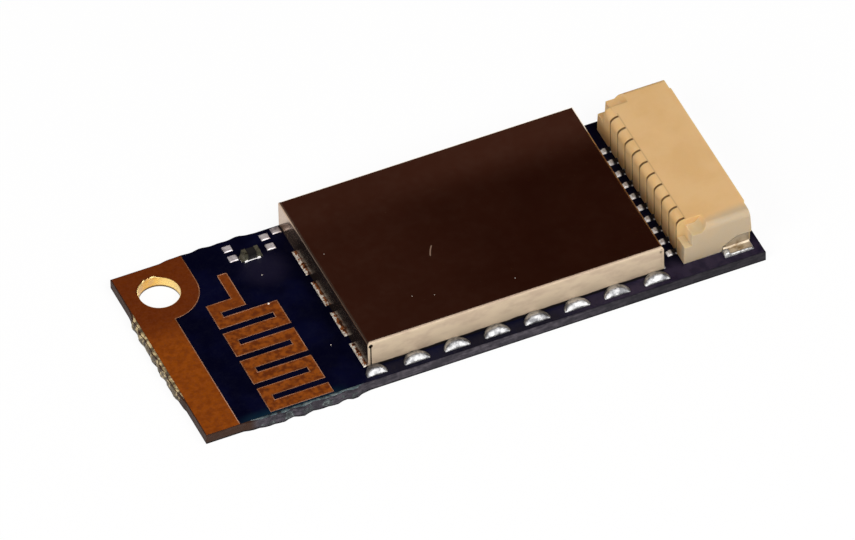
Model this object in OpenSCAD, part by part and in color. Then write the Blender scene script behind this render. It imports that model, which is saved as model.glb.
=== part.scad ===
// Small radio module: a circuit board with a printed antenna, a soldered shield can
// and a side-entry wire-to-board header.
// Origin at the centre of the board's underside, +X towards the header, +Z up.

/* [Board] */
// Length of the board, antenna end to header end
board_l = 34.5; // [33.5:0.5:42]
// Width of the board
board_w = 13.6; // [13.6:0.1:17]
// Thickness of the glass-fibre laminate
laminate_t = 0.64; // [0.5:0.02:1.2]
// Thickness of the copper and of the solder mask beside it
skin_t = 0.04; // [0.03:0.01:0.08]
// How far the mask and copper stay back from the board's edge
edge_inset = 0.06; // [0.02:0.01:0.12]

/* [Break-off edges] */
// How far the broken fibres stand out of the edge
nub_reach = 0.3; // [0.1:0.05:0.5]
// Start of the broken stretch on the near edge, from the antenna end
nub_near_start = 2.3; // [1:0.1:3]
// Length of the broken stretch on the near edge
nub_near_l = 7.8; // [4:0.1:8]
// Start of the broken stretch on the far edge, from the antenna end
nub_far_start = 3; // [1:0.1:4]
// Length of the broken stretch on the far edge
nub_far_l = 5.9; // [3:0.1:7]
// Start of the broken stretch on the antenna end, from the near edge
nub_end_start = 2.8; // [1:0.1:4]
// Length of the broken stretch on the antenna end
nub_end_l = 8.2; // [4:0.1:9]

/* [Screw hole] */
// Diameter of the plated screw hole
hole_d = 2.4; // [2.2:0.1:2.8]
// Distance of the hole from the antenna end
hole_x = 2.1; // [1.8:0.05:2.4]
// Distance of the hole from the far edge
hole_far = 2.15; // [1.9:0.05:2.5]
// Thickness of the plating in the hole
plating_t = 0.02; // [0.015:0.005:0.03]

/* [Bare copper] */
// Width of the bare copper strip along the antenna end
strip_w = 2.1; // [1.5:0.1:2.4]
// Radius of the bare copper round the hole
hole_pad_r = 2.28; // [1.8:0.02:2.4]

/* [Antenna] */
// Distance of the meander from the antenna end
antenna_x = 4.02; // [3:0.02:4.2]
// Length of the meander's runs
antenna_run_l = 3.88; // [3:0.02:4.5]
// Distance of the first run from the near edge
antenna_near = 0.16; // [0.14:0.02:0.6]
// Spacing of the runs
antenna_pitch = 1.195; // [1:0.005:1.2]
// Gap between two runs
antenna_gap = 0.38; // [0.2:0.02:0.5]
// Width of the bends at the ends of the runs
antenna_bend = 0.62; // [0.4:0.02:0.8]
// Width of the feed stub
stub_w = 0.6; // [0.4:0.05:0.8]
// Length of the feed stub past the last run
stub_l = 2; // [1:0.1:2.1]
// Length of the last run, from the meander's edge to the stub's far side
stub_run_l = 2.15; // [1.5:0.05:2.8]
// Radius at the corners of the stub's end
stub_round = 0.1; // [0.05:0.01:0.2]

/* [Matching parts] */
// Length of a tinned pad
pad_l = 0.54; // [0.4:0.02:0.6]
// Width of a tinned pad
pad_w = 0.5; // [0.4:0.02:0.6]
// Height of the tin on an empty pad
pad_rise = 0.05; // [0.02:0.01:0.08]
// Distance of the outer pads from the far edge
match_far = 0.58; // [0.4:0.02:0.7]
// Distance between the two pads of a footprint
match_pitch = 0.83; // [0.7:0.01:0.9]
// Distance between the two footprints
match_span = 2.3; // [2.2:0.05:2.6]
// Clear distance from the last footprint to the can
match_to_can = 0.85; // [0.7:0.05:1]

/* [Shield can] */
// Distance of the can from the antenna end
can_x = 10.37; // [10.3:0.05:11.5]
// Clear distance from the can to the header
can_to_header = 1.24; // [1.16:0.02:2]
// Distance of the can from the near edge
can_near = 1; // [0.9:0.05:1.4]
// Distance of the can from the far edge
can_far = 0.06; // [0.06:0.02:0.4]
// Height of the can above the board
can_h = 1.93; // [1.7:0.01:2.4]
// Thickness of the can's sheet
sheet_t = 0.15; // [0.1:0.01:0.2]
// Outer radius of the folds along the top
fold_r = 0.22; // [0.21:0.01:0.4]
// Width of the open seam at each corner
seam_w = 0.08; // [0.04:0.01:0.15]
// Radius of the relief hole at the top of each seam
relief_r = 0.13; // [0.08:0.01:0.16]

/* [Can solder] */
// Number of lands along the near wall
lands_near = 8; // [4:1:9]
// Number of lands along each end wall
lands_end = 4; // [2:1:4]
// Length of a land along the near wall
land_l = 1.66; // [1:0.02:1.8]
// Length of the first land along the near wall, at the can's corner
first_land_l = 1.34; // [1:0.02:1.5]
// Length of a land along an end wall
end_land_l = 2.06; // [1.4:0.02:2.3]
// How far a land shows outside the wall
land_out = 0.46; // [0.3:0.02:0.5]
// How far a land reaches under and inside the wall
land_in = 0.35; // [0.25:0.05:0.5]
// How far the solder climbs the wall
fillet_h = 0.34; // [0.15:0.01:0.4]

/* [Header] */
// Distance of the header's front from the board's end
header_setback = 0.42; // [0.2:0.02:0.8]
// Distance of the header from the near edge
header_near = 1.03; // [0.9:0.01:1.05]
// Depth of the header from its rear to its front
header_d = 4.2; // [4.1:0.05:4.5]
// Height of the header
header_h = 2.46; // [2.4:0.02:3]
// Thickness of the header's end walls
end_wall = 0.96; // [0.9:0.01:1]
// Radius along the rear edge of the comb
rear_round = 0.46; // [0.3:0.02:0.5]
// Radius along the top edge of the header's ends
end_round = 0.38; // [0.1:0.02:0.4]
// Depth of the low step at the rear of an end wall
step_low_d = 0.5; // [0.4:0.02:0.55]
// Height of the low step
step_low_h = 1.24; // [1:0.02:1.4]
// Depth of the high step, from the header's rear
step_high_d = 1.12; // [0.9:0.02:1.3]
// Height of the high step
step_high_h = 2.03; // [1.8:0.01:2.1]
// Depth of the bevel above the high step
step_bevel_d = 0.4; // [0.2:0.02:0.5]

/* [Header mouth] */
// Depth of the mouth that takes the plug
mouth_d = 2.7; // [2.2:0.1:2.9]
// Height of the mouth
mouth_h = 1.44; // [1.2:0.02:1.5]
// Thickness of the floor under the mouth
mouth_floor = 0.5; // [0.4:0.02:0.55]
// Thickness of the walls beside the mouth
mouth_wall = 0.85; // [0.6:0.05:0.9]

/* [Contacts] */
// Spacing of the contacts
contact_pitch = 1; // [0.9:0.01:1]
// Width of a contact
contact_w = 0.26; // [0.18:0.02:0.3]
// Thickness of a contact
contact_t = 0.16; // [0.1:0.02:0.18]
// Length of a contact's tail outside the header
tail_l = 0.44; // [0.3:0.02:0.48]
// Free space on each side of a contact in its pocket
contact_play = 0.02; // [0.01:0.005:0.04]
// Width of the slot behind each contact
slot_w = 0.12; // [0.08:0.01:0.16]
// Depth of the slots in the rear
slot_d = 0.52; // [0.45:0.01:0.6]
// How far the slots flare at the rear
slot_flare = 0.07; // [0.03:0.01:0.1]
// How far the pins stay back from the mouth's front
pin_back = 0.55; // [0.3:0.05:1]

/* [Hold-down tabs] */
// Thickness of the metal of a tab
tab_t = 0.2; // [0.15:0.01:0.24]
// Length of a tab along the header's end
tab_l = 1.62; // [1.2:0.02:1.7]
// Height of a tab's upright
tab_h = 0.85; // [0.6:0.05:0.95]
// How far a tab's foot stands out of the header's end
tab_foot = 0.46; // [0.3:0.02:0.48]
// Distance of a tab from the header's front
tab_back = 0.16; // [0.1:0.02:0.3]
// Free space round a tab in its notch
tab_play = 0.03; // [0.01:0.01:0.05]

/* [Parts under the can] */
// Side of the radio chip
radio_side = 7; // [5:0.5:7.5]
// Height of the radio chip
radio_h = 0.9; // [0.7:0.05:1.2]
// Length of the memory chip's body
memory_l = 3; // [2.8:0.1:3.2]
// Width of the memory chip's body
memory_w = 4.4; // [4:0.1:4.6]
// Height of the memory chip
memory_h = 1; // [0.8:0.05:1.2]
// Length of the crystal
crystal_l = 3.2; // [2.5:0.1:3.4]
// Width of the crystal
crystal_w = 2.5; // [2:0.1:2.6]
// Height of the crystal
crystal_h = 0.75; // [0.6:0.05:0.9]
// Length of the band filter
filter_l = 2; // [1.6:0.1:2.2]
// Width of the band filter
filter_w = 1.25; // [0.8:0.05:1.4]
// Height of the band filter
filter_h = 0.9; // [0.6:0.05:1]
// Length of the regulator's body
regulator_l = 2.9; // [2.7:0.1:3.1]
// Width of the regulator's body
regulator_w = 1.6; // [1.4:0.1:1.8]
// Height of the regulator
regulator_h = 1.1; // [0.9:0.05:1.3]
// Length of a chip part
chip_l = 1; // [0.8:0.02:1.1]
// Width and height of a chip part
chip_w = 0.5; // [0.4:0.02:0.56]
// Length of a chip part's metal ends
chip_end = 0.24; // [0.15:0.01:0.3]

/* [Hidden] */
$fn = 64;

// Finishes
laminate_colour = "#5d5548";
mask_colour = "#0b0d26";
copper_colour = "#8a4310";
gold_colour = "#d9b45a";
tin_colour = "#c9c8c4";
sheet_colour = "#b9ad98";
ivory_colour = "#d6b27c";
black_colour = "#1a1a1c";
ceramic_colour = "#8b6b4c";
white_colour = "#dcdcd8";

// Cuts run this far past the faces they open
cut = 0.1;

// Board
board_t = laminate_t + skin_t;
hole_r = hole_d / 2;
hole_y = board_w - hole_far;
nub_points = 26;
nub_slope = 7;
nub_mean = 0.66;
nub_swing = 0.34;
nub_beat = 430;
nub_near_waves = 6;
nub_far_waves = 4;
nub_end_waves = 7;
nub_far_share = 0.6;
nub_end_share = 0.8;

// Antenna, counted from the near edge
antenna_gaps = 7;
antenna_run_w = antenna_pitch - antenna_gap;
antenna_top = antenna_near + antenna_gaps * antenna_pitch + antenna_run_w;
stub_x = antenna_x + stub_run_l - stub_w;

// Header, in the board's plan
contact_n = 10;
header_x = board_l - header_setback - header_d;
header_w = contact_n * contact_pitch + 2 * end_wall;
wall_draft = 0.06;
front_draft = 0.08;
pocket_w = contact_w + 2 * contact_play;
leg_x = slot_d + contact_play;
pin_z = mouth_floor + mouth_h / 2;
pin_tip = 0.2;
bend_bevel = 0.06;
pad_toe = 0.14;
pad_side = 0.07;
tail_solder_h = 0.1;
tab_x = header_d - tab_back - tab_l;
tab_flat_l = 0.78;
tab_low_rise = 0.12;
tab_low_h = tab_t + tab_low_rise;
tab_bevel = 0.08;
tab_solder = 0.1;
tab_solder_h = 0.16;

// Can, in the board's plan
can_l = header_x - can_to_header - can_x;
can_w = board_w - can_near - can_far;
land_lead = 0.38;
land_trail = 0.15;
end_land_near = 0.17;
end_land_far = 2.27;
mound_back = 0.12;
relief_drop = 0.27;
first_land_x = can_x - land_lead + first_land_l / 2;
last_land_x = can_x + can_l + land_trail - land_l / 2;
first_end_land_y = can_near + end_land_near + end_land_l / 2;
last_end_land_y = can_near + can_w - end_land_far - end_land_l / 2;

// Matching parts beside the can
match_x = can_x - match_to_can - pad_l / 2 - match_span;
match_y = board_w - match_far;
match_gap = 0.06;
match_drop = 0.26;
toe_l = 0.16;
chip_solder_h = 0.35;
end_skin = 0.02;
match_chip_x = match_x + pad_l / 2 + match_gap + toe_l + chip_l / 2;
match_chip_y = match_y - match_pitch - match_drop;
corner_pad_gap = 0.07;
corner_pad_far = 0.11;
corner_pad_x = can_x - corner_pad_gap - pad_l / 2;
corner_pad_y = board_w - corner_pad_far - pad_w / 2;

// Sizes of the parts under the can
standoff = 0.1;
lead_t = 0.15;
lead_knee = 0.4;
radio_land_w = 0.28;
radio_land_l = 0.5;
radio_land_pitch = 0.5;
radio_land_n = floor(radio_side / radio_land_pitch) - 2;
radio_pad_inset = 1.4;
radio_pad = radio_side - 2 * radio_pad_inset;
memory_pitch = 0.65;
memory_leads = 4;
memory_lead_w = 0.25;
memory_lead_drop = 0.4;
memory_reach = 0.95;
crystal_lid_h = 0.3;
crystal_rim = 0.12;
filter_end = 0.35;
regulator_pitch = 0.95;
regulator_lead_w = 0.4;
regulator_lead_drop = 0.5;
regulator_reach = 0.6;
chip_step = 1.5;
chip_side_n = 2;

// Places of the parts under the can, measured from its centre: three columns with even gaps
can_cx = can_x + can_l / 2;
can_cy = can_near + can_w / 2;
inside_l = can_l - 2 * sheet_t;
inside_w = can_w - 2 * sheet_t;
power_l = regulator_w + 2 * regulator_reach;
middle_l = max(radio_side, 2 * chip_side_n * chip_step + chip_l);
clock_l = max(crystal_l, memory_l);
memory_span = memory_w + 2 * memory_reach;
column_gap = (inside_l - power_l - middle_l - clock_l) / 4;
power_gap = (inside_w - filter_w - chip_w - regulator_l) / 4;
middle_gap = (inside_w - radio_side - 2 * chip_w) / 4;
clock_gap = (inside_w - memory_span - crystal_w) / 3;
power_x = -inside_l / 2 + column_gap + power_l / 2;
radio_x = power_x + power_l / 2 + column_gap + middle_l / 2;
clock_x = inside_l / 2 - column_gap - clock_l / 2;
chip_row = radio_side / 2 + middle_gap + chip_w / 2;
radio_at = [radio_x, 0];
memory_at = [clock_x, inside_w / 2 - clock_gap - memory_span / 2];
crystal_at = [clock_x, -inside_w / 2 + clock_gap + crystal_w / 2];
filter_at = [power_x, inside_w / 2 - power_gap - filter_w / 2];
regulator_at = [power_x, -inside_w / 2 + power_gap + regulator_l / 2];
choke_at = [power_x, inside_w / 2 - 2 * power_gap - filter_w - chip_w / 2];
capacitor_at = concat(
    [for (i = [-chip_side_n : chip_side_n]) [radio_x + i * chip_step, -chip_row]],
    [for (i = [-chip_side_n : 0]) [radio_x + i * chip_step, chip_row]]
);
inductor_at = concat([for (i = [1 : chip_side_n]) [radio_x + i * chip_step, chip_row]], [choke_at]);

// Places the children on the board's top face, measured from its near antenna-end corner.
module on_board() {
    translate([-board_l / 2, -board_w / 2, board_t]) children();
}

// Places the children at the header's rear near corner, on the board.
module at_header() {
    on_board() translate([header_x, header_near, 0]) children();
}

// Places the children at a point under the can, on the board.
module in_can(at) {
    on_board() translate([can_cx + at[0], can_cy + at[1], 0]) children();
}

// Turns the children into the header's far end.
module far_end() {
    translate([0, header_w, 0]) mirror([0, 1, 0]) children();
}

// Extrudes an outline drawn in X and Z along +Y.
module along_y(length) {
    translate([0, length, 0]) rotate([90, 0, 0]) linear_extrude(length) children();
}

// Extrudes an outline drawn in Y and Z along +X.
module along_x(length) {
    rotate([90, 0, 90]) linear_extrude(length) children();
}

// A block standing on the board, centred on the origin.
module block(size) {
    translate([-size[0] / 2, -size[1] / 2, 0]) cube(size);
}

// A rectangle whose two upper corners are round.
module round_top(width, height, radius) {
    square([width, height - radius]);
    translate([radius, 0]) square([width - 2 * radius, height]);
    for (x = [radius, width - radius]) translate([x, height - radius]) circle(radius);
}

// Height of the broken fibres at a share t of their stretch.
function nub(t, waves) =
    nub_reach * min(1, nub_slope * t, nub_slope * (1 - t))
    * (nub_mean + nub_swing * sin(360 * waves * t) * cos(nub_beat * t));

// Places along a broken stretch with the fibres' height there.
function nub_line(start, length, waves) =
    [for (i = [0 : nub_points]) [start + length * i / nub_points, nub(i / nub_points, waves)]];

// The broken stretch of the far edge, counted from the header end, with the edge at y.
function far_nubs(y) =
    let (line = nub_line(nub_far_start, nub_far_l, nub_far_waves))
    [for (i = [nub_points : -1 : 0]) [line[i][0], y + line[i][1] * nub_far_share]];

// The board's outline with its broken edges.
module laminate_outline() {
    near_line = nub_line(nub_near_start, nub_near_l, nub_near_waves);
    end_line = nub_line(nub_end_start, nub_end_l, nub_end_waves);
    near = [for (p = near_line) [p[0], -p[1]]];
    far = far_nubs(board_w);
    end = [for (i = [nub_points : -1 : 0]) [-end_line[i][1] * nub_end_share, end_line[i][0]]];
    polygon(concat([[0, 0]], near, [[board_l, 0], [board_l, board_w]], far, [[0, board_w]], end));
}

// The area inside the edge inset. Copper and mask run out over the far edge's broken stretch.
module skin_outline() {
    low = edge_inset;
    right = board_l - edge_inset;
    top = board_w - edge_inset;
    polygon(concat([[low, low], [right, low], [right, top]], far_nubs(top), [[low, top]]));
}

// Bare copper at the antenna end, with the plated hole's seat open.
module ground_outline() {
    difference() {
        intersection() {
            skin_outline();
            union() {
                square([strip_w, board_w]);
                translate([hole_x, hole_y]) circle(hole_pad_r);
                translate([0, hole_y]) square([hole_x + hole_pad_r, hole_far + nub_reach]);
            }
        }
        translate([hole_x, hole_y]) circle(hole_r + plating_t);
    }
}

// Antenna: a block of runs cut by gaps that open on alternate sides, and a feed stub.
module antenna_outline() {
    difference() {
        translate([antenna_x, antenna_near]) square([antenna_run_l, antenna_top - antenna_near]);
        for (k = [0 : antenna_gaps - 1]) {
            gap_x = antenna_x + (k % 2 == 1 ? -cut : antenna_bend);
            gap_y = antenna_near + antenna_run_w + k * antenna_pitch;
            translate([gap_x, gap_y]) square([antenna_run_l - antenna_bend + cut, antenna_gap]);
        }
        translate([antenna_x + stub_run_l, antenna_top - antenna_run_w])
            square([antenna_run_l, antenna_run_w + cut]);
    }
    translate([stub_x, antenna_top - antenna_run_w]) stub_outline();
}
module stub_outline() {
    length = antenna_run_w + stub_l;
    square([stub_w, length - stub_round]);
    translate([stub_round, 0]) square([stub_w - 2 * stub_round, length]);
    for (x = [stub_round, stub_w - stub_round])
        translate([x, length - stub_round]) circle(stub_round);
}

// Tinned pads: two empty footprints, one pad at the can's corner and the fitted chip's own two.
module empty_pad_outline() {
    for (x = [0, match_span], y = [0, -match_pitch])
        translate([match_x + x - pad_l / 2, match_y + y - pad_w / 2]) square([pad_l, pad_w]);
    translate([corner_pad_x - pad_l / 2, corner_pad_y - pad_w / 2]) square([pad_l, pad_w]);
}
module chip_pad_outline() {
    for (side = [0, 1])
        translate([match_chip_x, match_chip_y - chip_w / 2]) mirror([side, 0])
            translate([chip_l / 2 - chip_end, 0]) square([chip_end + toe_l, chip_w]);
}

// Middle and length of a land along the near wall, and middle of one along an end wall.
function near_land(i) = first_land_x + i * (last_land_x - first_land_x) / (lands_near - 1);
function near_land_l(i) = i == 0 ? first_land_l : land_l;
function end_land(i) = first_end_land_y + i * (last_end_land_y - first_end_land_y) / (lands_end - 1);

// Lands of the can.
module land_outline() {
    for (i = [0 : lands_near - 1])
        translate([near_land(i) - near_land_l(i) / 2, can_near - land_out])
            square([near_land_l(i), land_out + land_in]);
    for (i = [0 : lands_end - 1], x = [can_x - land_out, can_x + can_l - land_in])
        translate([x, end_land(i) - end_land_l / 2]) square([land_out + land_in, end_land_l]);
}

// Distance of a contact's middle from the header's near end.
function contact_y(i) = end_wall + pocket_w / 2 + i * contact_pitch;

// Pads of the contacts.
module contact_pad_outline() {
    for (i = [0 : contact_n - 1])
        translate([header_x - tail_l - pad_toe, header_near + contact_y(i) - contact_w / 2 - pad_side])
            square([tail_l + pad_toe + leg_x + contact_t, contact_w + 2 * pad_side]);
}

// Pads of the hold-down tabs.
module tab_pad_outline() {
    for (y = [-tab_foot - tab_solder, header_w - tab_t])
        translate([header_x + tab_x - tab_solder, header_near + y])
            square([tab_l + 2 * tab_solder, tab_foot + tab_solder + tab_t]);
}

// Copper and tin of one thickness, level with the mask.
module skin() {
    on_board() translate([0, 0, -skin_t]) linear_extrude(skin_t) children();
}

// Board

module board_laminate() {
    color(laminate_colour) on_board() translate([0, 0, -board_t]) difference() {
        linear_extrude(laminate_t) laminate_outline();
        translate([hole_x, hole_y, -cut]) cylinder(r = hole_r + plating_t, h = laminate_t + 2 * cut);
    }
}

module mask_top() {
    color(mask_colour) skin() difference() {
        skin_outline();
        ground_outline();
        translate([hole_x, hole_y]) circle(hole_pad_r - cut);
        antenna_outline();
        empty_pad_outline();
        chip_pad_outline();
        land_outline();
        contact_pad_outline();
        tab_pad_outline();
    }
}

module ground_copper() {
    color(copper_colour) skin() ground_outline();
}

module antenna_trace() {
    color(copper_colour) skin() antenna_outline();
}

module hole_plating() {
    color(gold_colour) on_board() translate([hole_x, hole_y, -board_t]) difference() {
        cylinder(r = hole_r + plating_t, h = board_t);
        translate([0, 0, -cut]) cylinder(r = hole_r, h = board_t + 2 * cut);
    }
}

module matching_pads() {
    color(tin_colour) {
        on_board() translate([0, 0, -skin_t]) linear_extrude(skin_t + pad_rise) empty_pad_outline();
        skin() chip_pad_outline();
    }
}

// Chip parts: a body between two metal ends

module chip_body(length, width, height, end) {
    translate([0, 0, end_skin]) block([length - 2 * end, width - 2 * end_skin, height - 2 * end_skin]);
}

module chip_ends(length, width, height, end) {
    for (side = [-1, 1]) translate([side * (length - end) / 2, 0, 0]) block([end, width, height]);
}

module matching_chip() {
    color(black_colour) on_board() translate([match_chip_x, match_chip_y, 0])
        chip_body(chip_l, chip_w, chip_w, chip_end);
}

module matching_chip_ends() {
    color(tin_colour) on_board() translate([match_chip_x, match_chip_y, 0])
        chip_ends(chip_l, chip_w, chip_w, chip_end);
}

module matching_chip_solder() {
    toe = [[0, 0], [toe_l, 0], [toe_l / 3, chip_solder_h / 3], [0, chip_solder_h]];
    color(tin_colour) on_board() translate([match_chip_x, match_chip_y - chip_w / 2, 0])
        for (turn = [0, 1]) mirror([turn, 0, 0]) translate([chip_l / 2, 0, 0]) along_y(chip_w) polygon(toe);
}

// Shield can: one sheet folded down on four sides, its walls apart at the corners

module can_form(inset, radius, low) {
    intersection() {
        translate([inset, 0, low]) along_y(can_w)
            round_top(can_l - 2 * inset, can_h - inset - low, radius);
        translate([0, inset, low]) along_x(can_l)
            round_top(can_w - 2 * inset, can_h - inset - low, radius);
    }
}

module can_seam() {
    translate([sheet_t, -cut, -cut]) cube([seam_w, sheet_t + cut, can_h - relief_drop + cut]);
    translate([sheet_t + seam_w / 2, -cut, can_h - relief_drop]) rotate([-90, 0, 0])
        cylinder(r = relief_r, h = sheet_t + cut);
}

module shield_can() {
    color(sheet_colour) on_board() translate([can_x, can_near, 0]) difference() {
        can_form(0, fold_r, 0);
        can_form(sheet_t, fold_r - sheet_t, -cut);
        for (x = [0, 1], y = [0, 1])
            translate([x * can_l, y * can_w, 0]) mirror([x, 0, 0]) mirror([0, y, 0]) can_seam();
    }
}

module can_lands() {
    color(tin_colour) skin() land_outline();
}

// A mound of solder along X: its sides sink from the middle in hollow slopes, its ends in a low arch.
module mound(length) {
    arch_r = (length * length / 4 + fillet_h * fillet_h) / (2 * fillet_h);
    slope = [
        [1, 0], [0.9, 0.12], [0.5, 0.34], [0.2, 0.64], [0, 1]
    ];
    near_side = [for (p = slope) [-p[0] * land_out, p[1] * fillet_h]];
    far_side = [for (i = [len(slope) - 2 : -1 : 0]) [slope[i][0] * mound_back, slope[i][1] * fillet_h]];
    intersection() {
        translate([-length / 2, 0, 0]) along_x(length) polygon(concat(near_side, far_side));
        translate([0, -land_out - cut, 0]) along_y(land_out + mound_back + 2 * cut) intersection() {
            translate([0, fillet_h - arch_r]) circle(arch_r, $fn = 256);
            translate([-length / 2, 0]) square([length, fillet_h]);
        }
    }
}

// Solder outside the can: what is left of the mounds beside its walls.
module outside_can() {
    color(tin_colour) on_board() difference() {
        children();
        translate([can_x, can_near, -cut]) cube([can_l, can_w, can_h]);
    }
}

module can_solder_near() {
    outside_can() for (i = [0 : lands_near - 1])
        translate([near_land(i), can_near, 0]) mound(near_land_l(i));
}

module can_solder_antenna_side() {
    outside_can() for (i = [0 : lands_end - 1])
        translate([can_x, end_land(i), 0]) rotate(-90) mound(end_land_l);
}

module can_solder_connector_side() {
    outside_can() for (i = [0 : lands_end - 1])
        translate([can_x + can_l, end_land(i), 0]) rotate(90) mound(end_land_l);
}

// Header: a comb of ribs between two stepped end walls, with a mouth at the front

module comb_profile() {
    square([header_d, header_h - rear_round]);
    translate([rear_round, 0]) square([header_d - rear_round, header_h]);
    translate([rear_round, header_h - rear_round]) circle(rear_round);
}

module wall_profile() {
    polygon([
        [0, 0], [wall_draft, step_low_h], [step_low_d, step_low_h], [step_low_d + wall_draft, step_high_h],
        [step_high_d, step_high_h], [step_high_d + step_bevel_d, header_h],
        [header_d - front_draft, header_h], [header_d, step_low_h], [header_d, 0]
    ]);
}

// A slot splits the rear of the comb from the board to the top, and opens into the contact's pocket.
module slot() {
    wide = slot_w / 2 + slot_flare + cut;
    translate([0, 0, -cut]) linear_extrude(header_h + 2 * cut) polygon([
        [-cut, -wide], [slot_flare, -slot_w / 2], [slot_d, -slot_w / 2],
        [slot_d, slot_w / 2], [slot_flare, slot_w / 2], [-cut, wide]
    ]);
}

// A pocket takes the tail through the rear, the leg up and the pin into the mouth.
module contact_pocket() {
    span = contact_t + 2 * contact_play;
    translate([-cut, -pocket_w / 2, -cut])
        cube([slot_d + span + cut, pocket_w, contact_t + contact_play + cut]);
    translate([slot_d, -pocket_w / 2, -cut]) cube([span, pocket_w, pin_z + span / 2 + cut]);
    translate([slot_d, -pocket_w / 2, pin_z - span / 2])
        cube([header_d - mouth_d - slot_d + cut, pocket_w, span]);
}

// Outline of a hold-down tab seen from the header's end, grown by a margin.
module tab_face(margin, front) {
    polygon([
        [tab_x - margin, -margin], [front, -margin], [front, tab_h + margin],
        [tab_x + tab_l - tab_flat_l, tab_h + margin], [tab_x - margin, tab_low_h + margin]
    ]);
}

module tab_notch() {
    translate([0, -cut, 0]) along_y(tab_t + tab_play + cut) tab_face(tab_play, header_d + cut);
}

module connector_housing() {
    color(ivory_colour) at_header() difference() {
        intersection() {
            union() {
                translate([0, end_wall, 0]) along_y(header_w - 2 * end_wall) comb_profile();
                along_y(end_wall) wall_profile();
                translate([0, header_w - end_wall, 0]) along_y(end_wall) wall_profile();
            }
            along_x(header_d) round_top(header_w, header_h, end_round);
        }
        translate([header_d - mouth_d, mouth_wall, mouth_floor])
            cube([mouth_d + cut, header_w - 2 * mouth_wall, mouth_h]);
        for (i = [0 : contact_n - 1]) translate([0, contact_y(i), 0]) {
            slot();
            contact_pocket();
        }
        tab_notch();
        far_end() tab_notch();
    }
}

// A contact: tail on the board, leg in its pocket, pin through the rear wall into the mouth.
module contact(number) {
    tip = header_d - pin_back;
    low = pin_z - contact_t / 2;
    high = pin_z + contact_t / 2;
    color(tin_colour) at_header() translate([0, contact_y(number - 1) - contact_w / 2, 0])
        along_y(contact_w) polygon([
            [-tail_l, 0], [leg_x + contact_t - bend_bevel, 0], [leg_x + contact_t, bend_bevel],
            [leg_x + contact_t, low], [tip - pin_tip, low], [tip, pin_z - contact_t / 4],
            [tip, pin_z + contact_t / 4], [tip - pin_tip, high], [leg_x + bend_bevel, high],
            [leg_x, high - bend_bevel], [leg_x, contact_t], [-tail_l, contact_t]
        ]);
}

module contact_pads() {
    color(tin_colour) skin() contact_pad_outline();
}

// Solder round each tail: a toe at its end and a fillet on each side.
module tail_solder() {
    translate([-tail_l - pad_toe, -contact_w / 2, 0]) along_y(contact_w)
        polygon([[0, 0], [pad_toe, 0], [pad_toe, tail_solder_h]]);
    for (turn = [0, 1]) mirror([0, turn, 0]) translate([-tail_l - pad_toe, contact_w / 2, 0])
        along_x(tail_l + pad_toe) polygon([[0, 0], [pad_side, 0], [0, tail_solder_h]]);
}

module contact_solder() {
    color(tin_colour) at_header()
        for (i = [0 : contact_n - 1]) translate([0, contact_y(i), 0]) tail_solder();
}

module hold_down() {
    intersection() {
        along_x(header_d) polygon([
            [-tab_foot, 0], [tab_t - tab_bevel, 0], [tab_t, tab_bevel], [tab_t, tab_h], [0, tab_h],
            [0, tab_t + tab_bevel], [-tab_bevel, tab_t], [-tab_foot, tab_t]
        ]);
        translate([0, -tab_foot - cut, 0]) along_y(tab_foot + tab_t + 2 * cut) tab_face(0, tab_x + tab_l);
    }
}

module hold_down_near() {
    color(tin_colour) at_header() hold_down();
}

module hold_down_far() {
    color(tin_colour) at_header() far_end() hold_down();
}

module hold_down_pads() {
    color(tin_colour) skin() tab_pad_outline();
}

// Solder round a tab's foot: along its outer edge and at both ends.
module foot_solder() {
    translate([tab_x - tab_solder, -tab_foot, 0]) along_x(tab_l + 2 * tab_solder)
        polygon([[0, 0], [0, tab_solder_h], [-tab_solder, 0]]);
    for (x = [0, 1])
        translate([tab_x + x * tab_l, -tab_foot, 0]) mirror([x, 0, 0]) along_y(tab_foot)
            polygon([[0, 0], [-tab_solder, 0], [0, tab_solder_h]]);
}

module hold_down_solder() {
    color(tin_colour) at_header() {
        foot_solder();
        far_end() foot_solder();
    }
}

// Parts under the can

module radio_chip() {
    color(black_colour) in_can(radio_at) translate([0, 0, lead_t])
        block([radio_side, radio_side, radio_h - lead_t]);
}

module radio_chip_lands() {
    edge = radio_side / 2 - radio_land_l / 2;
    color(gold_colour) in_can(radio_at) {
        for (turn = [0 : 90 : 270], i = [0 : radio_land_n - 1])
            rotate(turn) translate([(i - (radio_land_n - 1) / 2) * radio_land_pitch, -edge, 0])
                block([radio_land_w, radio_land_l, lead_t]);
        block([radio_pad, radio_pad, lead_t]);
    }
}

// A bent lead: from the side of a body at half its height down to the board, to +Y.
module gull_lead(width, height, reach) {
    knee = reach * lead_knee;
    translate([-width / 2, 0, 0]) along_x(width) polygon([
        [0, height], [knee, height], [knee + lead_t, lead_t], [reach, lead_t], [reach, 0],
        [knee, 0], [knee - lead_t, height - lead_t], [0, height - lead_t]
    ]);
}

module memory_chip() {
    color(black_colour) in_can(memory_at) translate([0, 0, standoff])
        block([memory_l, memory_w, memory_h - standoff]);
}

module memory_chip_leads() {
    color(tin_colour) in_can(memory_at)
        for (turn = [0, 180], i = [0 : memory_leads - 1])
            rotate(turn) translate([(i - (memory_leads - 1) / 2) * memory_pitch, memory_w / 2, 0])
                gull_lead(memory_lead_w, memory_h - memory_lead_drop, memory_reach);
}

module crystal_base() {
    color(ceramic_colour) in_can(crystal_at) block([crystal_l, crystal_w, crystal_h - crystal_lid_h]);
}

module crystal_lid() {
    color(gold_colour) in_can(crystal_at) translate([0, 0, crystal_h - crystal_lid_h])
        block([crystal_l - 2 * crystal_rim, crystal_w - 2 * crystal_rim, crystal_lid_h]);
}

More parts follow.
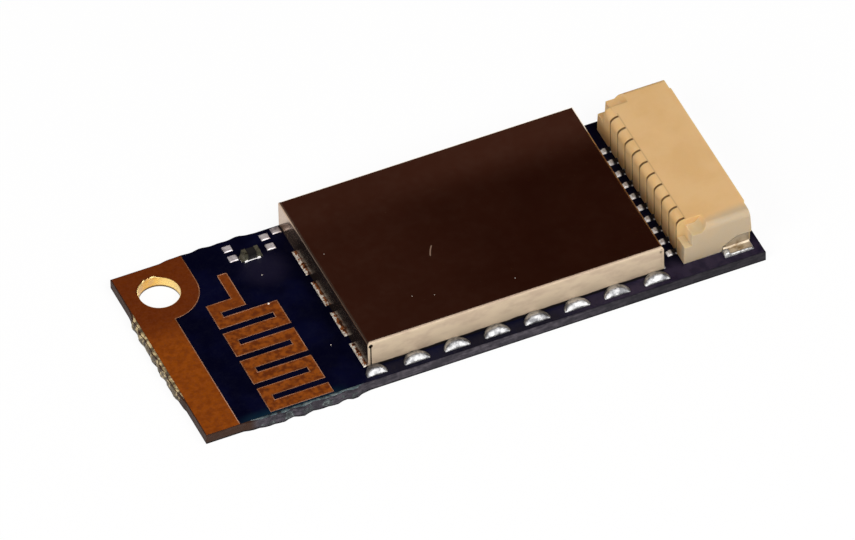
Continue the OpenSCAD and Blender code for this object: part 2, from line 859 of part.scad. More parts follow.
module band_filter() {
    color(ceramic_colour) in_can(filter_at) chip_body(filter_l, filter_w, filter_h, filter_end);
}

module band_filter_ends() {
    color(tin_colour) in_can(filter_at) chip_ends(filter_l, filter_w, filter_h, filter_end);
}

module regulator() {
    color(black_colour) in_can(regulator_at) translate([0, 0, standoff])
        block([regulator_w, regulator_l, regulator_h - standoff]);
}

module regulator_leads() {
    color(tin_colour) in_can(regulator_at) {
        for (i = [-1 : 1]) translate([-regulator_w / 2, i * regulator_pitch, 0]) rotate(90)
            gull_lead(regulator_lead_w, regulator_h - regulator_lead_drop, regulator_reach);
        for (i = [-1, 1]) translate([regulator_w / 2, i * regulator_pitch, 0]) rotate(-90)
            gull_lead(regulator_lead_w, regulator_h - regulator_lead_drop, regulator_reach);
    }
}

module capacitors() {
    color(ceramic_colour) for (at = capacitor_at) in_can(at) chip_body(chip_l, chip_w, chip_w, chip_end);
}

module capacitor_ends() {
    color(tin_colour) for (at = capacitor_at) in_can(at) chip_ends(chip_l, chip_w, chip_w, chip_end);
}

module inductors() {
    color(white_colour) for (at = inductor_at) in_can(at) chip_body(chip_l, chip_w, chip_w, chip_end);
}

module inductor_ends() {
    color(tin_colour) for (at = inductor_at) in_can(at) chip_ends(chip_l, chip_w, chip_w, chip_end);
}

board_laminate();
mask_top();
ground_copper();
antenna_trace();
hole_plating();
matching_pads();
matching_chip();
matching_chip_ends();
matching_chip_solder();
shield_can();
can_lands();
can_solder_near();
can_solder_antenna_side();
can_solder_connector_side();
connector_housing();
contact(1);  // contact_01
contact(2);  // contact_02
contact(3);  // contact_03
contact(4);  // contact_04
contact(5);  // contact_05
contact(6);  // contact_06
contact(7);  // contact_07
contact(8);  // contact_08
contact(9);  // contact_09
contact(10);  // contact_10
contact_pads();
contact_solder();
hold_down_near();
hold_down_far();
hold_down_pads();
hold_down_solder();
radio_chip();
radio_chip_lands();
memory_chip();
memory_chip_leads();
crystal_base();
crystal_lid();
band_filter();
band_filter_ends();
regulator();
regulator_leads();
capacitors();
capacitor_ends();
inductors();
inductor_ends();
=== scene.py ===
"""Looks of a small radio module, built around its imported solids.

A circuit board with a printed antenna carries a soldered shield can and a side-entry header.
Lengths are metres, and every piece keeps its place in its own mesh.
"""
import logging
import math
from dataclasses import dataclass, replace
from enum import Enum
from typing import Callable, Iterable, Sequence

import bmesh
import bpy
from mathutils import Matrix, Vector, noise


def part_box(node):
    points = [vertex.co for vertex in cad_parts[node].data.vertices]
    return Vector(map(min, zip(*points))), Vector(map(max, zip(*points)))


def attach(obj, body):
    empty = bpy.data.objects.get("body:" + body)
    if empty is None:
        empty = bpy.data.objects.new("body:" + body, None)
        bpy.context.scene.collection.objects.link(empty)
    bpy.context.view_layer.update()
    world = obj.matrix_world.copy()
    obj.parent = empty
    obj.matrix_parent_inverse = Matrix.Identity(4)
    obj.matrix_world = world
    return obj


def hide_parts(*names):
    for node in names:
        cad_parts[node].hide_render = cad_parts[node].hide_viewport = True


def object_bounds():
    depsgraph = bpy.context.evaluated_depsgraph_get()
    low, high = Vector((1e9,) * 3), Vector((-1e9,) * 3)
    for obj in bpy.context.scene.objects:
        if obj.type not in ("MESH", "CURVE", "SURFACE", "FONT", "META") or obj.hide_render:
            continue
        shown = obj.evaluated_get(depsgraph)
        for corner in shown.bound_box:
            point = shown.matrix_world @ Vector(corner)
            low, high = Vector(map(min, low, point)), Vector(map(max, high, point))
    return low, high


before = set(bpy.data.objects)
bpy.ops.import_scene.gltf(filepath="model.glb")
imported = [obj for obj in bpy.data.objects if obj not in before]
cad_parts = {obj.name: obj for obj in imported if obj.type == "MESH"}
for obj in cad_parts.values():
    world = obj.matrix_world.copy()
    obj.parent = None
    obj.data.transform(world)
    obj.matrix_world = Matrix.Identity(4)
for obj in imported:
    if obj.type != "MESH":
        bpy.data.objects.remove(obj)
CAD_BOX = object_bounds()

Triple = tuple[float, float, float]
Colour = Triple
Span = tuple[float, float]
Spot = tuple[float, float]
Box = tuple[Vector, Vector]
Waves = tuple[Triple, ...]
Crown = Callable[[float, float], float]
Socket = bpy.types.NodeSocket
Feed = Socket | float | Colour

LOG = logging.getLogger("radio_module")
MM = 0.001
BODY = "root"
WELD = 1e-7
SORT_DIGITS = 6
PLACE_DIGITS = 7
FACES_UP = 0.9
MOST_NOISE: Span = (0.3, 0.7)
BEAD_PITCH = 0.76 * MM
UP = Vector((0, 0, 1))


def srgb(red: int, green: int, blue: int) -> Colour:
    """Turn a colour as the eye reads it, 0 to 255, into the linear one that shaders take.

    Args:
        red: Red part.
        green: Green part.
        blue: Blue part.

    Returns:
        The linear colour.
    """
    def linear(part: int) -> float:
        """Undo the sRGB standard's curve."""
        share = part / 255
        return share / 12.92 if share <= 0.04045 else ((share + 0.055) / 1.055) ** 2.4

    return linear(red), linear(green), linear(blue)


def count_from(place: float, span: Span, scale: float = 1) -> Span:
    """Count a span from a place.

    Args:
        place: Where the count starts.
        span: First and last value of the span.
        scale: Length of its unit.

    Returns:
        The counted span.
    """
    return place + scale * span[0], place + scale * span[1]


def furthest(box: Box, way: Vector) -> float:
    """Find how far a box reaches one way.

    Args:
        box: Two opposite corners.
        way: Direction along an axis.

    Returns:
        The reach from the origin.
    """
    return max(corner.dot(way) for corner in box)


class Slot(Enum):
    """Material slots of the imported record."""

    LAMINATE = "laminate"
    BARE_COPPER = "bare_copper"
    GOLD_PLATE = "gold_plate"
    TINNED_PADS = "tinned_pads"
    SOLDER = "solder"
    CAN_SHEET = "can_sheet"
    IVORY_HOUSING = "ivory_housing"
    CHIP_WHITE = "chip_white"


class Side(Enum):
    """Sides of the board, named by the way they face."""

    NEAR = (0, -1, 0)
    FAR = (0, 1, 0)
    ANTENNA_END = (-1, 0, 0)
    HEADER_END = (1, 0, 0)

    @property
    def out(self) -> Vector:
        """Direction that points away from the board."""
        return Vector(self.value)

    @property
    def along(self) -> Vector:
        """Direction along the edge, to +X or +Y."""
        return Vector((abs(self.value[1]), abs(self.value[0]), 0))


class NodeSketch:
    """One node material that reads Object coordinates."""

    def __init__(self, name: str) -> None:
        """Start a material with a Principled shader.

        Args:
            name: Name of the material.
        """
        self.material = bpy.data.materials.new(name)
        self.material.use_nodes = True
        self.tree = self.material.node_tree
        self.tree.nodes.clear()
        self.output = self.add("ShaderNodeOutputMaterial")
        self.shader = self.add("ShaderNodeBsdfPrincipled")
        self.feed(self.output.inputs["Surface"], self.shader.outputs["BSDF"])
        self.coords = self.add("ShaderNodeTexCoord").outputs["Object"]

    def add(self, kind: str, **settings: object) -> bpy.types.Node:
        """Add a node.

        Args:
            kind: Blender's name of the node's type.
            **settings: Properties to set on it.

        Returns:
            The new node.
        """
        made = self.tree.nodes.new(kind)
        for key, value in settings.items():
            setattr(made, key, value)
        return made

    def feed(self, target: Socket, value: Feed) -> None:
        """Link a socket to another, or give it a constant.

        Args:
            target: Socket that takes the value.
            value: Socket, number or colour.
        """
        if isinstance(value, bpy.types.NodeSocket):
            self.tree.links.new(value, target)
        elif isinstance(value, tuple) and target.type == "RGBA":
            target.default_value = (*value, 1)
        else:
            target.default_value = value

    def wear(self, **inputs: Feed) -> None:
        """Set the shader's own sockets, each by its name with _ for a space."""
        for key, value in inputs.items():
            self.feed(self.shader.inputs[key.replace("_", " ")], value)

    def moved(self, centre: Vector, turn: float = 0) -> Socket:
        """Give coordinates counted from a point, turned about +Z.

        Args:
            centre: New origin.
            turn: Angle of the new X axis from the old one.

        Returns:
            The new coordinates.
        """
        shift = self.add("ShaderNodeVectorMath", operation="SUBTRACT")
        self.feed(shift.inputs[0], self.coords)
        shift.inputs[1].default_value = centre
        spin = self.add("ShaderNodeVectorRotate", rotation_type="Z_AXIS")
        self.feed(spin.inputs["Vector"], shift.outputs[0])
        spin.inputs["Angle"].default_value = -turn
        return spin.outputs[0]

    def axes(self, coords: Socket | None = None) -> tuple[Socket, Socket, Socket]:
        """Split coordinates into X, Y and Z.

        Args:
            coords: Coordinates, or None for the object's own.

        Returns:
            The three numbers.
        """
        made = self.add("ShaderNodeSeparateXYZ")
        self.feed(made.inputs[0], coords or self.coords)
        return made.outputs[0], made.outputs[1], made.outputs[2]

    def facing(self) -> tuple[Socket, Socket, Socket]:
        """Give how far the surface faces +X, +Y and +Z, each from -1 to 1."""
        return self.axes(self.add("ShaderNodeNewGeometry").outputs["Normal"])

    def reach(self, centre: Vector) -> Socket:
        """Give the distance from the upright axis through a point."""
        x, y, _ = self.axes(self.moved(centre))
        return self.calc("SQRT", self.calc("ADD", self.product(x, x), self.product(y, y)))

    def grain(self, size: float, detail: float = 3, stretch: Triple = (1, 1, 1), seed: float = 0) -> Socket:
        """Add noise.

        Args:
            size: Length of its features.
            detail: Octaves of finer noise.
            stretch: How much longer the features are along each axis.
            seed: Offset that sets two grains apart.

        Returns:
            The noise, mostly between 0.2 and 0.8.
        """
        place = self.add("ShaderNodeMapping")
        self.feed(place.inputs["Vector"], self.coords)
        place.inputs["Scale"].default_value = tuple(1 / (size * part) for part in stretch)
        place.inputs["Location"].default_value = (seed, 2 * seed, 3 * seed)
        made = self.add("ShaderNodeTexNoise")
        self.feed(made.inputs["Vector"], place.outputs[0])
        made.inputs["Scale"].default_value = 1
        made.inputs["Detail"].default_value = detail
        return made.outputs["Fac"]

    def span(self, value: Socket, low: float, high: float, start: float = 0, end: float = 1) -> Socket:
        """Map a range onto another with soft ends.

        Args:
            value: Number to map.
            low: Value that gives start.
            high: Value that gives end.
            start: First result.
            end: Last result.

        Returns:
            The mapped number.
        """
        made = self.add("ShaderNodeMapRange", interpolation_type="SMOOTHSTEP")
        ends = {"Value": value, "From Min": low, "From Max": high, "To Min": start, "To Max": end}
        for key, part in ends.items():
            self.feed(made.inputs[key], part)
        return made.outputs[0]

    def calc(self, operation: str, *values: Feed) -> Socket:
        """Add a Math node.

        Args:
            operation: Blender's name of the operation.
            *values: Its inputs.

        Returns:
            The result.
        """
        made = self.add("ShaderNodeMath", operation=operation)
        for target, value in zip(made.inputs, values):
            self.feed(target, value)
        return made.outputs[0]

    def product(self, result: Socket, *others: Feed) -> Socket:
        """Multiply numbers.

        Args:
            result: First number.
            *others: Numbers to multiply it by.

        Returns:
            The product.
        """
        for other in others:
            result = self.calc("MULTIPLY", result, other)
        return result

    def blend(self, tone: Feed, *coats: tuple[Feed, Feed]) -> Feed:
        """Lay colours over one another.

        Args:
            tone: Lowest colour.
            *coats: Share and colour of each coat in order, where a share of 1 hides what is under it.

        Returns:
            The mixed colour.
        """
        for share, colour in coats:
            made = self.add("ShaderNodeMix", data_type="RGBA")
            # A Mix node holds its colours in inputs 6 and 7, and the mixed one in output 2.
            for index, value in ((0, share), (6, tone), (7, colour)):
                self.feed(made.inputs[index], value)
            tone = made.outputs[2]
        return tone

    def bump(self, height: Socket, depth: float, strength: float) -> None:
        """Roughen the surface.

        Args:
            height: Relief between 0 and 1.
            depth: Height of the relief.
            strength: Share of it that shows.
        """
        made = self.add("ShaderNodeBump")
        made.inputs["Strength"].default_value = strength
        made.inputs["Distance"].default_value = depth
        self.feed(made.inputs["Height"], height)
        self.feed(self.shader.inputs["Normal"], made.outputs[0])

    def skin(
        self, tone: Feed, lumps: Socket, rough: Span, depth: float, strength: float, metallic: float = 0
    ) -> None:
        """Give the shader a colour, with a gloss and a relief that follow the same lumps."""
        self.wear(Base_Color=tone, Metallic=metallic, Roughness=self.span(lumps, *MOST_NOISE, *rough))
        self.bump(lumps, depth, strength)


@dataclass(frozen=True)
class Finish:
    """A finish that one or more pieces wear."""

    label: str

    def material(self) -> bpy.types.Material:
        """Build the finish.

        Returns:
            Its node material.
        """
        sketch = NodeSketch(self.label)
        self.draw(sketch)
        return sketch.material

    def draw(self, sketch: NodeSketch) -> None:
        """Add the finish's nodes to a material."""
        raise NotImplementedError


@dataclass(frozen=True)
class LaminateFinish(Finish):
    """Glass-fibre board: layered cut edges with painted shadow along their foot, and a masked underside
    with bare copper round the hole.
    """

    dark: Colour = srgb(44, 41, 48)
    light: Colour = srgb(78, 73, 80)
    light_from: Span = (0.14, 0.42)
    layer: float = 0.12 * MM
    layer_stretch: Triple = (9, 9, 1)
    fibre: float = 0.3 * MM
    scorched: Colour = srgb(58, 34, 16)
    scorched_x: Span = (-14.7 * MM, -14 * MM)
    scorched_share: float = 0.85
    dim: Colour = srgb(16, 14, 20)
    dim_x: Span = (2 * MM, 12 * MM)
    dim_share: float = 0.7
    # Painted shadow: a dark band along the foot of the cut edges.
    foot: Colour = srgb(4, 4, 6)
    shade_foot_z: Span = (0.05 * MM, 0.15 * MM)
    foot_share: float = 0.9
    mask: Colour = srgb(3, 4, 26)
    copper: Colour = srgb(136, 62, 14)
    hole: Triple = (0, 0, 0)
    ring_r: Span = (2.2 * MM, 2.25 * MM)
    faces_down: Span = (-0.7, -0.5)
    side_rough: float = 0.62
    under_rough: float = 0.32
    ior: float = 1.25
    relief: float = 0.03 * MM

    def draw(self, sketch: NodeSketch) -> None:
        """Add the finish's nodes.

        Args:
            sketch: Material to draw on.
        """
        layers = sketch.grain(self.layer, stretch=self.layer_stretch)
        fibres = sketch.grain(self.fibre, detail=4, seed=4)
        x, _, z = sketch.axes()
        # The last coat is the painted shadow along the foot of the cut edges.
        sides = sketch.blend(
            self.dark, (sketch.span(sketch.product(layers, fibres), *self.light_from), self.light),
            (sketch.span(x, *self.scorched_x, self.scorched_share, 0), self.scorched),
            (sketch.span(x, *self.dim_x, 0, self.dim_share), self.dim),
            (sketch.span(z, *self.shade_foot_z, self.foot_share, 0), self.foot),
        )
        ring = sketch.span(sketch.reach(Vector(self.hole)), *self.ring_r, 1, 0)
        below = sketch.span(sketch.facing()[2], *self.faces_down, 1, 0)
        sketch.wear(
            Base_Color=sketch.blend(sides, (below, sketch.blend(self.mask, (ring, self.copper)))),
            Roughness=sketch.span(below, 0, 1, self.side_rough, self.under_rough), IOR=self.ior,
        )
        sketch.bump(sketch.calc("ADD", layers, fibres), self.relief, strength=0.5)


@dataclass(frozen=True)
class FibreFinish(Finish):
    """Torn glass fibre along a break-off edge."""

    dark: Colour
    green: Colour
    pale: Colour
    rim: Colour
    pale_from: Span
    green_from: Span = (0.36, 0.62)
    rim_from: Span = (0.3, 0.6)
    faces_up: Span = (0.2, 0.7)
    clump: float = 0.28 * MM
    strand: float = 0.07 * MM
    strand_stretch: Triple = (3, 3, 1)
    strand_share: float = 0.3
    bead_pitch: float = 0
    gap: Colour = srgb(52, 42, 32)
    gap_half: Span = (0.04, 0.2)
    gap_share: float = 0.7
    rough: float = 0.6
    relief: float = 0.04 * MM

    def draw(self, sketch: NodeSketch) -> None:
        """Add the finish's nodes.

        Args:
            sketch: Material to draw on.
        """
        clumps = sketch.grain(self.clump, detail=4)
        strands = sketch.grain(self.strand, detail=2, stretch=self.strand_stretch, seed=7)
        mixed = sketch.calc("ADD", clumps, sketch.product(strands, self.strand_share))
        upper = sketch.span(sketch.facing()[2], *self.faces_up)
        tone = sketch.blend(
            self.dark, (sketch.span(clumps, *self.green_from), self.green),
            (sketch.product(upper, sketch.span(clumps, *self.rim_from)), self.rim),
            (sketch.span(mixed, *self.pale_from), self.pale),
        )
        if self.bead_pitch:
            beside = sketch.calc("PINGPONG", sketch.axes()[1], self.bead_pitch / 2)
            half = count_from(0, self.gap_half, self.bead_pitch)
            tone = sketch.blend(tone, (sketch.span(beside, *half, self.gap_share, 0), self.gap))
        sketch.wear(Base_Color=tone, Roughness=self.rough)
        sketch.bump(strands, self.relief, strength=0.8)


@dataclass(frozen=True)
class MaskFinish(Finish):
    """Dark solder mask: deep navy, teal where the bare laminate glows through at the near edge, with a
    painted sheen round the chip and a painted reflection along the near edge towards the header end.
    """

    deep: Colour = srgb(0, 1, 20)
    cloud: Colour = srgb(3, 5, 31)
    cloud_size: float = 2.2 * MM
    cloud_from: Span = (0.4, 0.7)
    teal: Colour = srgb(8, 32, 48)
    teal_x: Span = (0, 0)
    teal_fade: float = 1.5 * MM
    teal_reach: float = 0.75 * MM
    teal_share: float = 0.9
    near_edge: float = 0
    # Painted sheen: a lighter patch on the mask round the chip.
    haze: Colour = srgb(19, 17, 35)
    sheen_at: Spot = (-9 * MM, 3.9 * MM)
    sheen_r: Span = (0.5 * MM, 1.9 * MM)
    # Painted reflection: a lighter tone along the near edge towards the header end, broken up by the weave.
    painted_reflection: Colour = srgb(38, 31, 47)
    painted_reflection_x: Span = (3 * MM, 9 * MM)
    painted_reflection_y: Span = (-6 * MM, -4.8 * MM)
    painted_reflection_from: Span = (0.35, 0.6)
    painted_reflection_share: Span = (0.5, 1)
    weave: float = 0.5 * MM
    grit: float = 0.09 * MM
    gloss_from: Span = (0.15, 0.4)
    rough: Span = (0.4, 0.56)
    ior: float = 1.22
    relief: float = 0.006 * MM

    def draw(self, sketch: NodeSketch) -> None:
        """Add the finish's nodes.

        Args:
            sketch: Material to draw on.
        """
        x, y, _ = sketch.axes()
        weave = sketch.grain(self.weave)
        grit = sketch.grain(self.grit, detail=2, seed=3)
        clouds = sketch.grain(self.cloud_size, seed=5)
        # Painted sheen round the chip, fading with the distance from it.
        away = sketch.reach(Vector((*self.sheen_at, 0)))
        # Painted reflection along the near edge towards the header end, broken up by the weave.
        painted_reflection = sketch.product(
            sketch.span(x, *self.painted_reflection_x), sketch.span(y, *self.painted_reflection_y, 1, 0),
            sketch.span(weave, *self.painted_reflection_from, *self.painted_reflection_share),
        )
        low, high = self.teal_x
        glow = sketch.product(
            sketch.span(x, low, low + self.teal_fade), sketch.span(x, high - self.teal_fade, high, 1, 0),
            sketch.span(y, self.near_edge, self.near_edge + self.teal_reach, self.teal_share, 0),
        )
        tone = sketch.blend(
            self.deep, (sketch.span(clouds, *self.cloud_from), self.cloud),
            (sketch.span(away, *self.sheen_r, 1, 0), self.haze), (painted_reflection, self.painted_reflection), (glow, self.teal),
        )
        gloss = sketch.span(sketch.product(weave, grit), *self.gloss_from, *self.rough)
        sketch.wear(Base_Color=tone, Roughness=gloss, IOR=self.ior)
        sketch.bump(sketch.calc("ADD", weave, grit), self.relief, strength=0.6)


@dataclass(frozen=True)
class CopperFinish(Finish):
    """Bare copper gone brown, finely mottled and darker towards the far edge."""

    ground: Colour = srgb(160, 78, 6)
    dark: Colour = srgb(142, 66, 4)
    stain: Colour = srgb(104, 46, 4)
    far: Colour = srgb(100, 36, 2)
    dark_from: Span = (0.36, 0.66)
    stain_from: Span = (0.26, 0.42)
    stain_share: float = 0.4
    far_y: Span = (0, 3 * MM)
    far_share: float = 0.75
    mottle: float = 0.36 * MM
    spot: float = 0.3 * MM
    grain: float = 0.12 * MM
    metallic: float = 0.4
    rough: Span = (0.42, 0.58)
    relief: float = 0.006 * MM

    def draw(self, sketch: NodeSketch) -> None:
        """Add the finish's nodes.

        Args:
            sketch: Material to draw on.
        """
        mottle = sketch.grain(self.mottle, detail=4)
        fine = sketch.grain(self.grain, seed=2)
        spots = sketch.product(sketch.grain(self.spot, detail=4, seed=9), fine)
        tone = sketch.blend(
            self.ground, (sketch.span(mottle, *self.dark_from), self.dark),
            (sketch.span(sketch.axes()[1], *self.far_y, 0, self.far_share), self.far),
            (sketch.span(spots, *self.stain_from, 0, self.stain_share), self.stain),
        )
        sketch.skin(tone, fine, self.rough, self.relief, strength=0.5, metallic=self.metallic)


@dataclass(frozen=True)
class MetalFinish(Finish):
    """Tinned or plated metal with a tarnished grain, and painted shadow along X where shade_x is set."""

    ground: Colour
    tarnish: Colour
    rough: Span = (0.26, 0.4)
    grain: float = 0.1 * MM
    relief: float = 0.004 * MM
    metallic: float = 0.5
    stain: Span = (0.42, 0.72)
    stain_size: float = 2.6
    shade: Colour = srgb(20, 17, 20)
    shade_x: Span = (0, 0)

    def draw(self, sketch: NodeSketch) -> None:
        """Add the finish's nodes.

        Args:
            sketch: Material to draw on.
        """
        lumps = sketch.grain(self.grain, detail=4)
        haze = sketch.grain(self.stain_size * self.grain, seed=6)
        tone = sketch.blend(self.ground, (sketch.span(haze, *self.stain), self.tarnish))
        # Painted shadow between shade_x's ends, fading out past the far one.
        low, high = self.shade_x
        if low < high:
            x = sketch.axes()[0]
            inside = sketch.span(x, high + self.grain, high + 2 * self.grain, 1, 0)
            tone = sketch.blend(tone, (sketch.product(sketch.span(x, low, high), inside), self.shade))
        sketch.skin(tone, lumps, self.rough, self.relief, strength=0.7, metallic=self.metallic)


@dataclass(frozen=True)
class PlatingFinish(Finish):
    """Gold plate of the hole: dull at its antenna end, pale opposite, dark at its foot."""

    dull: Colour = srgb(216, 170, 100)
    gold: Colour = srgb(226, 174, 70)
    pale: Colour = srgb(248, 214, 130)
    dark: Colour = srgb(60, 40, 16)
    dull_x: Span = (0, 0)
    pale_x: Span = (0, 0)
    dark_z: Span = (0, 0)
    dark_share: float = 0.9
    patch: float = 0.26 * MM
    patch_from: Span = (0.36, 0.66)
    lump: float = 0.12 * MM
    metallic: float = 0.5
    rough: Span = (0.26, 0.4)
    relief: float = 0.01 * MM

    def draw(self, sketch: NodeSketch) -> None:
        """Add the finish's nodes.

        Args:
            sketch: Material to draw on.
        """
        x, _, z = sketch.axes()
        patches = sketch.span(sketch.grain(self.patch, detail=4), *self.patch_from)
        lumps = sketch.grain(self.lump, seed=6)
        tone = sketch.blend(
            self.dull, (sketch.span(x, *self.dull_x), sketch.blend(self.gold, (patches, self.dull))),
            (sketch.span(x, *self.pale_x), self.pale),
            (sketch.span(z, *self.dark_z, self.dark_share, 0), self.dark),
        )
        sketch.skin(tone, lumps, self.rough, self.relief, strength=0.7, metallic=self.metallic)


@dataclass(frozen=True)
class StainedShadedFinish(Finish):
    """Bright solder under brown flux in patches; painted shade spreads the flux and burnt colours towards
    the wall that it runs along.
    """

    solder: Colour = srgb(246, 238, 222)
    grey: Colour = srgb(170, 162, 150)
    grey_from: Span = (0.4, 0.66)
    flux: Colour = srgb(140, 78, 34)
    flux_from: Span = (0.5, 0.58)
    burnt: Colour = srgb(44, 22, 14)
    burnt_from: Span = (0.64, 0.72)
    wall_x: float = 0
    width: float = 0.2 * MM
    # Painted shade: the share of flux and burnt colour grows towards the wall.
    wall_shade: Span = (-0.06, 0.12)
    patch: float = 0.2 * MM
    lump: float = 0.09 * MM
    metallic: float = 0.2
    rough: Span = (0.24, 0.4)
    relief: float = 0.014 * MM

    def draw(self, sketch: NodeSketch) -> None:
        """Add the finish's nodes.

        Args:
            sketch: Material to draw on.
        """
        lumps = sketch.grain(self.lump, detail=4)
        patches = sketch.grain(self.patch, detail=4, seed=6)
        # Painted shade towards the wall, added to the flux patches.
        wall_shade = sketch.span(sketch.axes()[0], self.wall_x - self.width, self.wall_x, *self.wall_shade)
        share = sketch.calc("ADD", patches, wall_shade)
        tone = sketch.blend(
            self.solder, (sketch.span(lumps, *self.grey_from), self.grey),
            (sketch.span(share, *self.flux_from), self.flux),
            (sketch.span(share, *self.burnt_from), self.burnt),
        )
        sketch.skin(tone, lumps, self.rough, self.relief, strength=0.7, metallic=self.metallic)


@dataclass(frozen=True)
class CanFinish(Finish):
    """Folded sheet, handled: bright with faint tarnish and one scratch. Painted light and shade: its near
    wall is a lit matt copy of the sheet and its antenna-side wall a shaded copy, lighter at its far end;
    the top's far part carries a painted reflection, and the near fold and the near wall's foot carry
    painted shade.
    """

    ground: Colour = srgb(218, 194, 168)
    cloud: Colour = srgb(170, 140, 116)
    cloud_size: float = 3.2 * MM
    cloud_share: float = 0.2
    tarnish_x: Span = (-7 * MM, 6 * MM)
    tarnish_share: float = 0.8
    # Painted reflection: the top's far part lighter, more so towards +X.
    sheen: Colour = srgb(255, 236, 208)
    sheen_y: Span = (2.4 * MM, 5.6 * MM)
    sheen_share: Span = (0.5, 1)
    # Painted light: the near wall is a lit, matt copy of the sheet, with streaks.
    dull: Colour = srgb(206, 186, 158)
    faces_near: Span = (-0.7, -0.25)
    near_metallic: float = 0.35
    near_rough: float = 0.2
    streak: Colour = srgb(190, 168, 144)
    streak_size: float = 0.4 * MM
    streak_stretch: Triple = (3, 1, 1.4)
    streak_from: Span = (0.4, 0.7)
    shaded: Colour = srgb(112, 94, 80)
    lit: Colour = srgb(190, 162, 138)
    shaded_y: Span = (3.6 * MM, 5.4 * MM)
    faces_antenna: Span = (-0.8, -0.4)
    shaded_matt: float = 0.12
    # Painted shade on the fold between the top and the near wall.
    fold: Colour = srgb(64, 44, 32)
    fold_share: float = 0.7
    fold_start: Span = (-0.85, -0.6)
    fold_end: Span = (-0.35, -0.08)
    # Painted shade: a dark matt band along the near wall's foot, with a ragged top.
    foot: Colour = srgb(14, 9, 12)
    shade_foot_z: Span = (0, 0)
    foot_ragged: float = 0.03 * MM
    foot_matt: float = 0.9
    grain: float = 0.5 * MM
    fog: float = 1.4 * MM
    gloss_from: Span = (0.1, 0.44)
    rough: Span = (0.21, 0.24)
    relief: float = 0.003 * MM
    mark: Colour = srgb(122, 94, 80)
    top: float = 0
    skin_t: float = 0.05 * MM
    scratch: Spot = (-0.67 * MM, -0.5 * MM)
    scratch_half: Span = (0.322 * MM, 0.46 * MM)
    scratch_w: float = 0.05 * MM
    scratch_turn: float = math.radians(-28)
    scratch_bend: float = 180

    def draw(self, sketch: NodeSketch) -> None:
        """Add the finish's nodes.

        Args:
            sketch: Material to draw on.
        """
        clouds = sketch.grain(self.cloud_size)
        grain = sketch.grain(self.grain, detail=4, seed=3)
        fog = sketch.grain(self.fog, detail=5, seed=8)
        streaks = sketch.grain(self.streak_size, detail=4, stretch=self.streak_stretch, seed=11)
        x, y, z = sketch.axes()
        faces_x, faces_y, _ = sketch.facing()
        tarnish = sketch.calc(
            "ADD", sketch.span(x, *self.tarnish_x, 0, self.tarnish_share),
            sketch.span(clouds, *MOST_NOISE, 0, self.cloud_share),
        )
        # Painted reflection over the far part, stronger towards +X.
        sheen = sketch.product(
            sketch.span(y, *self.sheen_y), sketch.span(x, *self.tarnish_x, *self.sheen_share)
        )
        # Painted light: faces towards the near side get the lit, matt copy of the sheet.
        near = sketch.span(faces_y, *self.faces_near, 1, 0)
        lit_near_tone = sketch.blend(self.dull, (sketch.span(streaks, *self.streak_from), self.streak))
        antenna_side = sketch.span(faces_x, *self.faces_antenna, 1, 0)
        side_tone = sketch.blend(self.shaded, (sketch.span(y, *self.shaded_y), self.lit))
        # Painted shade on the fold between the top and the near wall.
        fold = sketch.product(
            sketch.span(faces_y, *self.fold_start, 0, self.fold_share),
            sketch.span(faces_y, *self.fold_end, 1, 0),
        )
        # Painted shade along the near wall's foot, its top made ragged by the fog.
        ragged = sketch.product(sketch.span(fog, *MOST_NOISE, -1, 1), self.foot_ragged)
        foot = sketch.product(sketch.span(sketch.calc("ADD", z, ragged), *self.shade_foot_z, 1, 0), near)
        mark = self.scratch_mark(sketch)
        tone = sketch.blend(
            self.ground, (tarnish, self.cloud), (sheen, self.sheen), (near, lit_near_tone),
            (antenna_side, side_tone), (fold, self.fold), (foot, self.foot), (mark, self.mark),
        )
        matt = mark
        shares = ((near, 1 - self.near_metallic), (foot, self.foot_matt), (antenna_side, self.shaded_matt))
        for place, share in shares:
            matt = sketch.calc("MAXIMUM", matt, sketch.product(place, share))
        gloss = sketch.span(sketch.product(fog, grain), *self.gloss_from, *self.rough)
        sketch.wear(
            Base_Color=tone, Metallic=sketch.calc("SUBTRACT", 1.0, matt),
            Roughness=sketch.calc("ADD", gloss, sketch.product(near, self.near_rough)),
        )
        sketch.bump(sketch.calc("ADD", grain, fog), self.relief, strength=0.2)

    def scratch_mark(self, sketch: NodeSketch) -> Socket:
        """Mark the short bent scratch on the can's top.

        Args:
            sketch: Material to draw on.

        Returns:
            1 on the scratch and 0 elsewhere.
        """
        x, y, z = sketch.axes(sketch.moved(Vector((*self.scratch, self.top)), self.scratch_turn))
        bent = sketch.calc("SUBTRACT", x, sketch.product(y, y, self.scratch_bend))
        return sketch.product(
            sketch.span(sketch.calc("ABSOLUTE", bent), 0, self.scratch_w, 1, 0),
            sketch.span(sketch.calc("ABSOLUTE", y), *self.scratch_half, 1, 0),
            sketch.span(z, -self.skin_t, 0),
        )


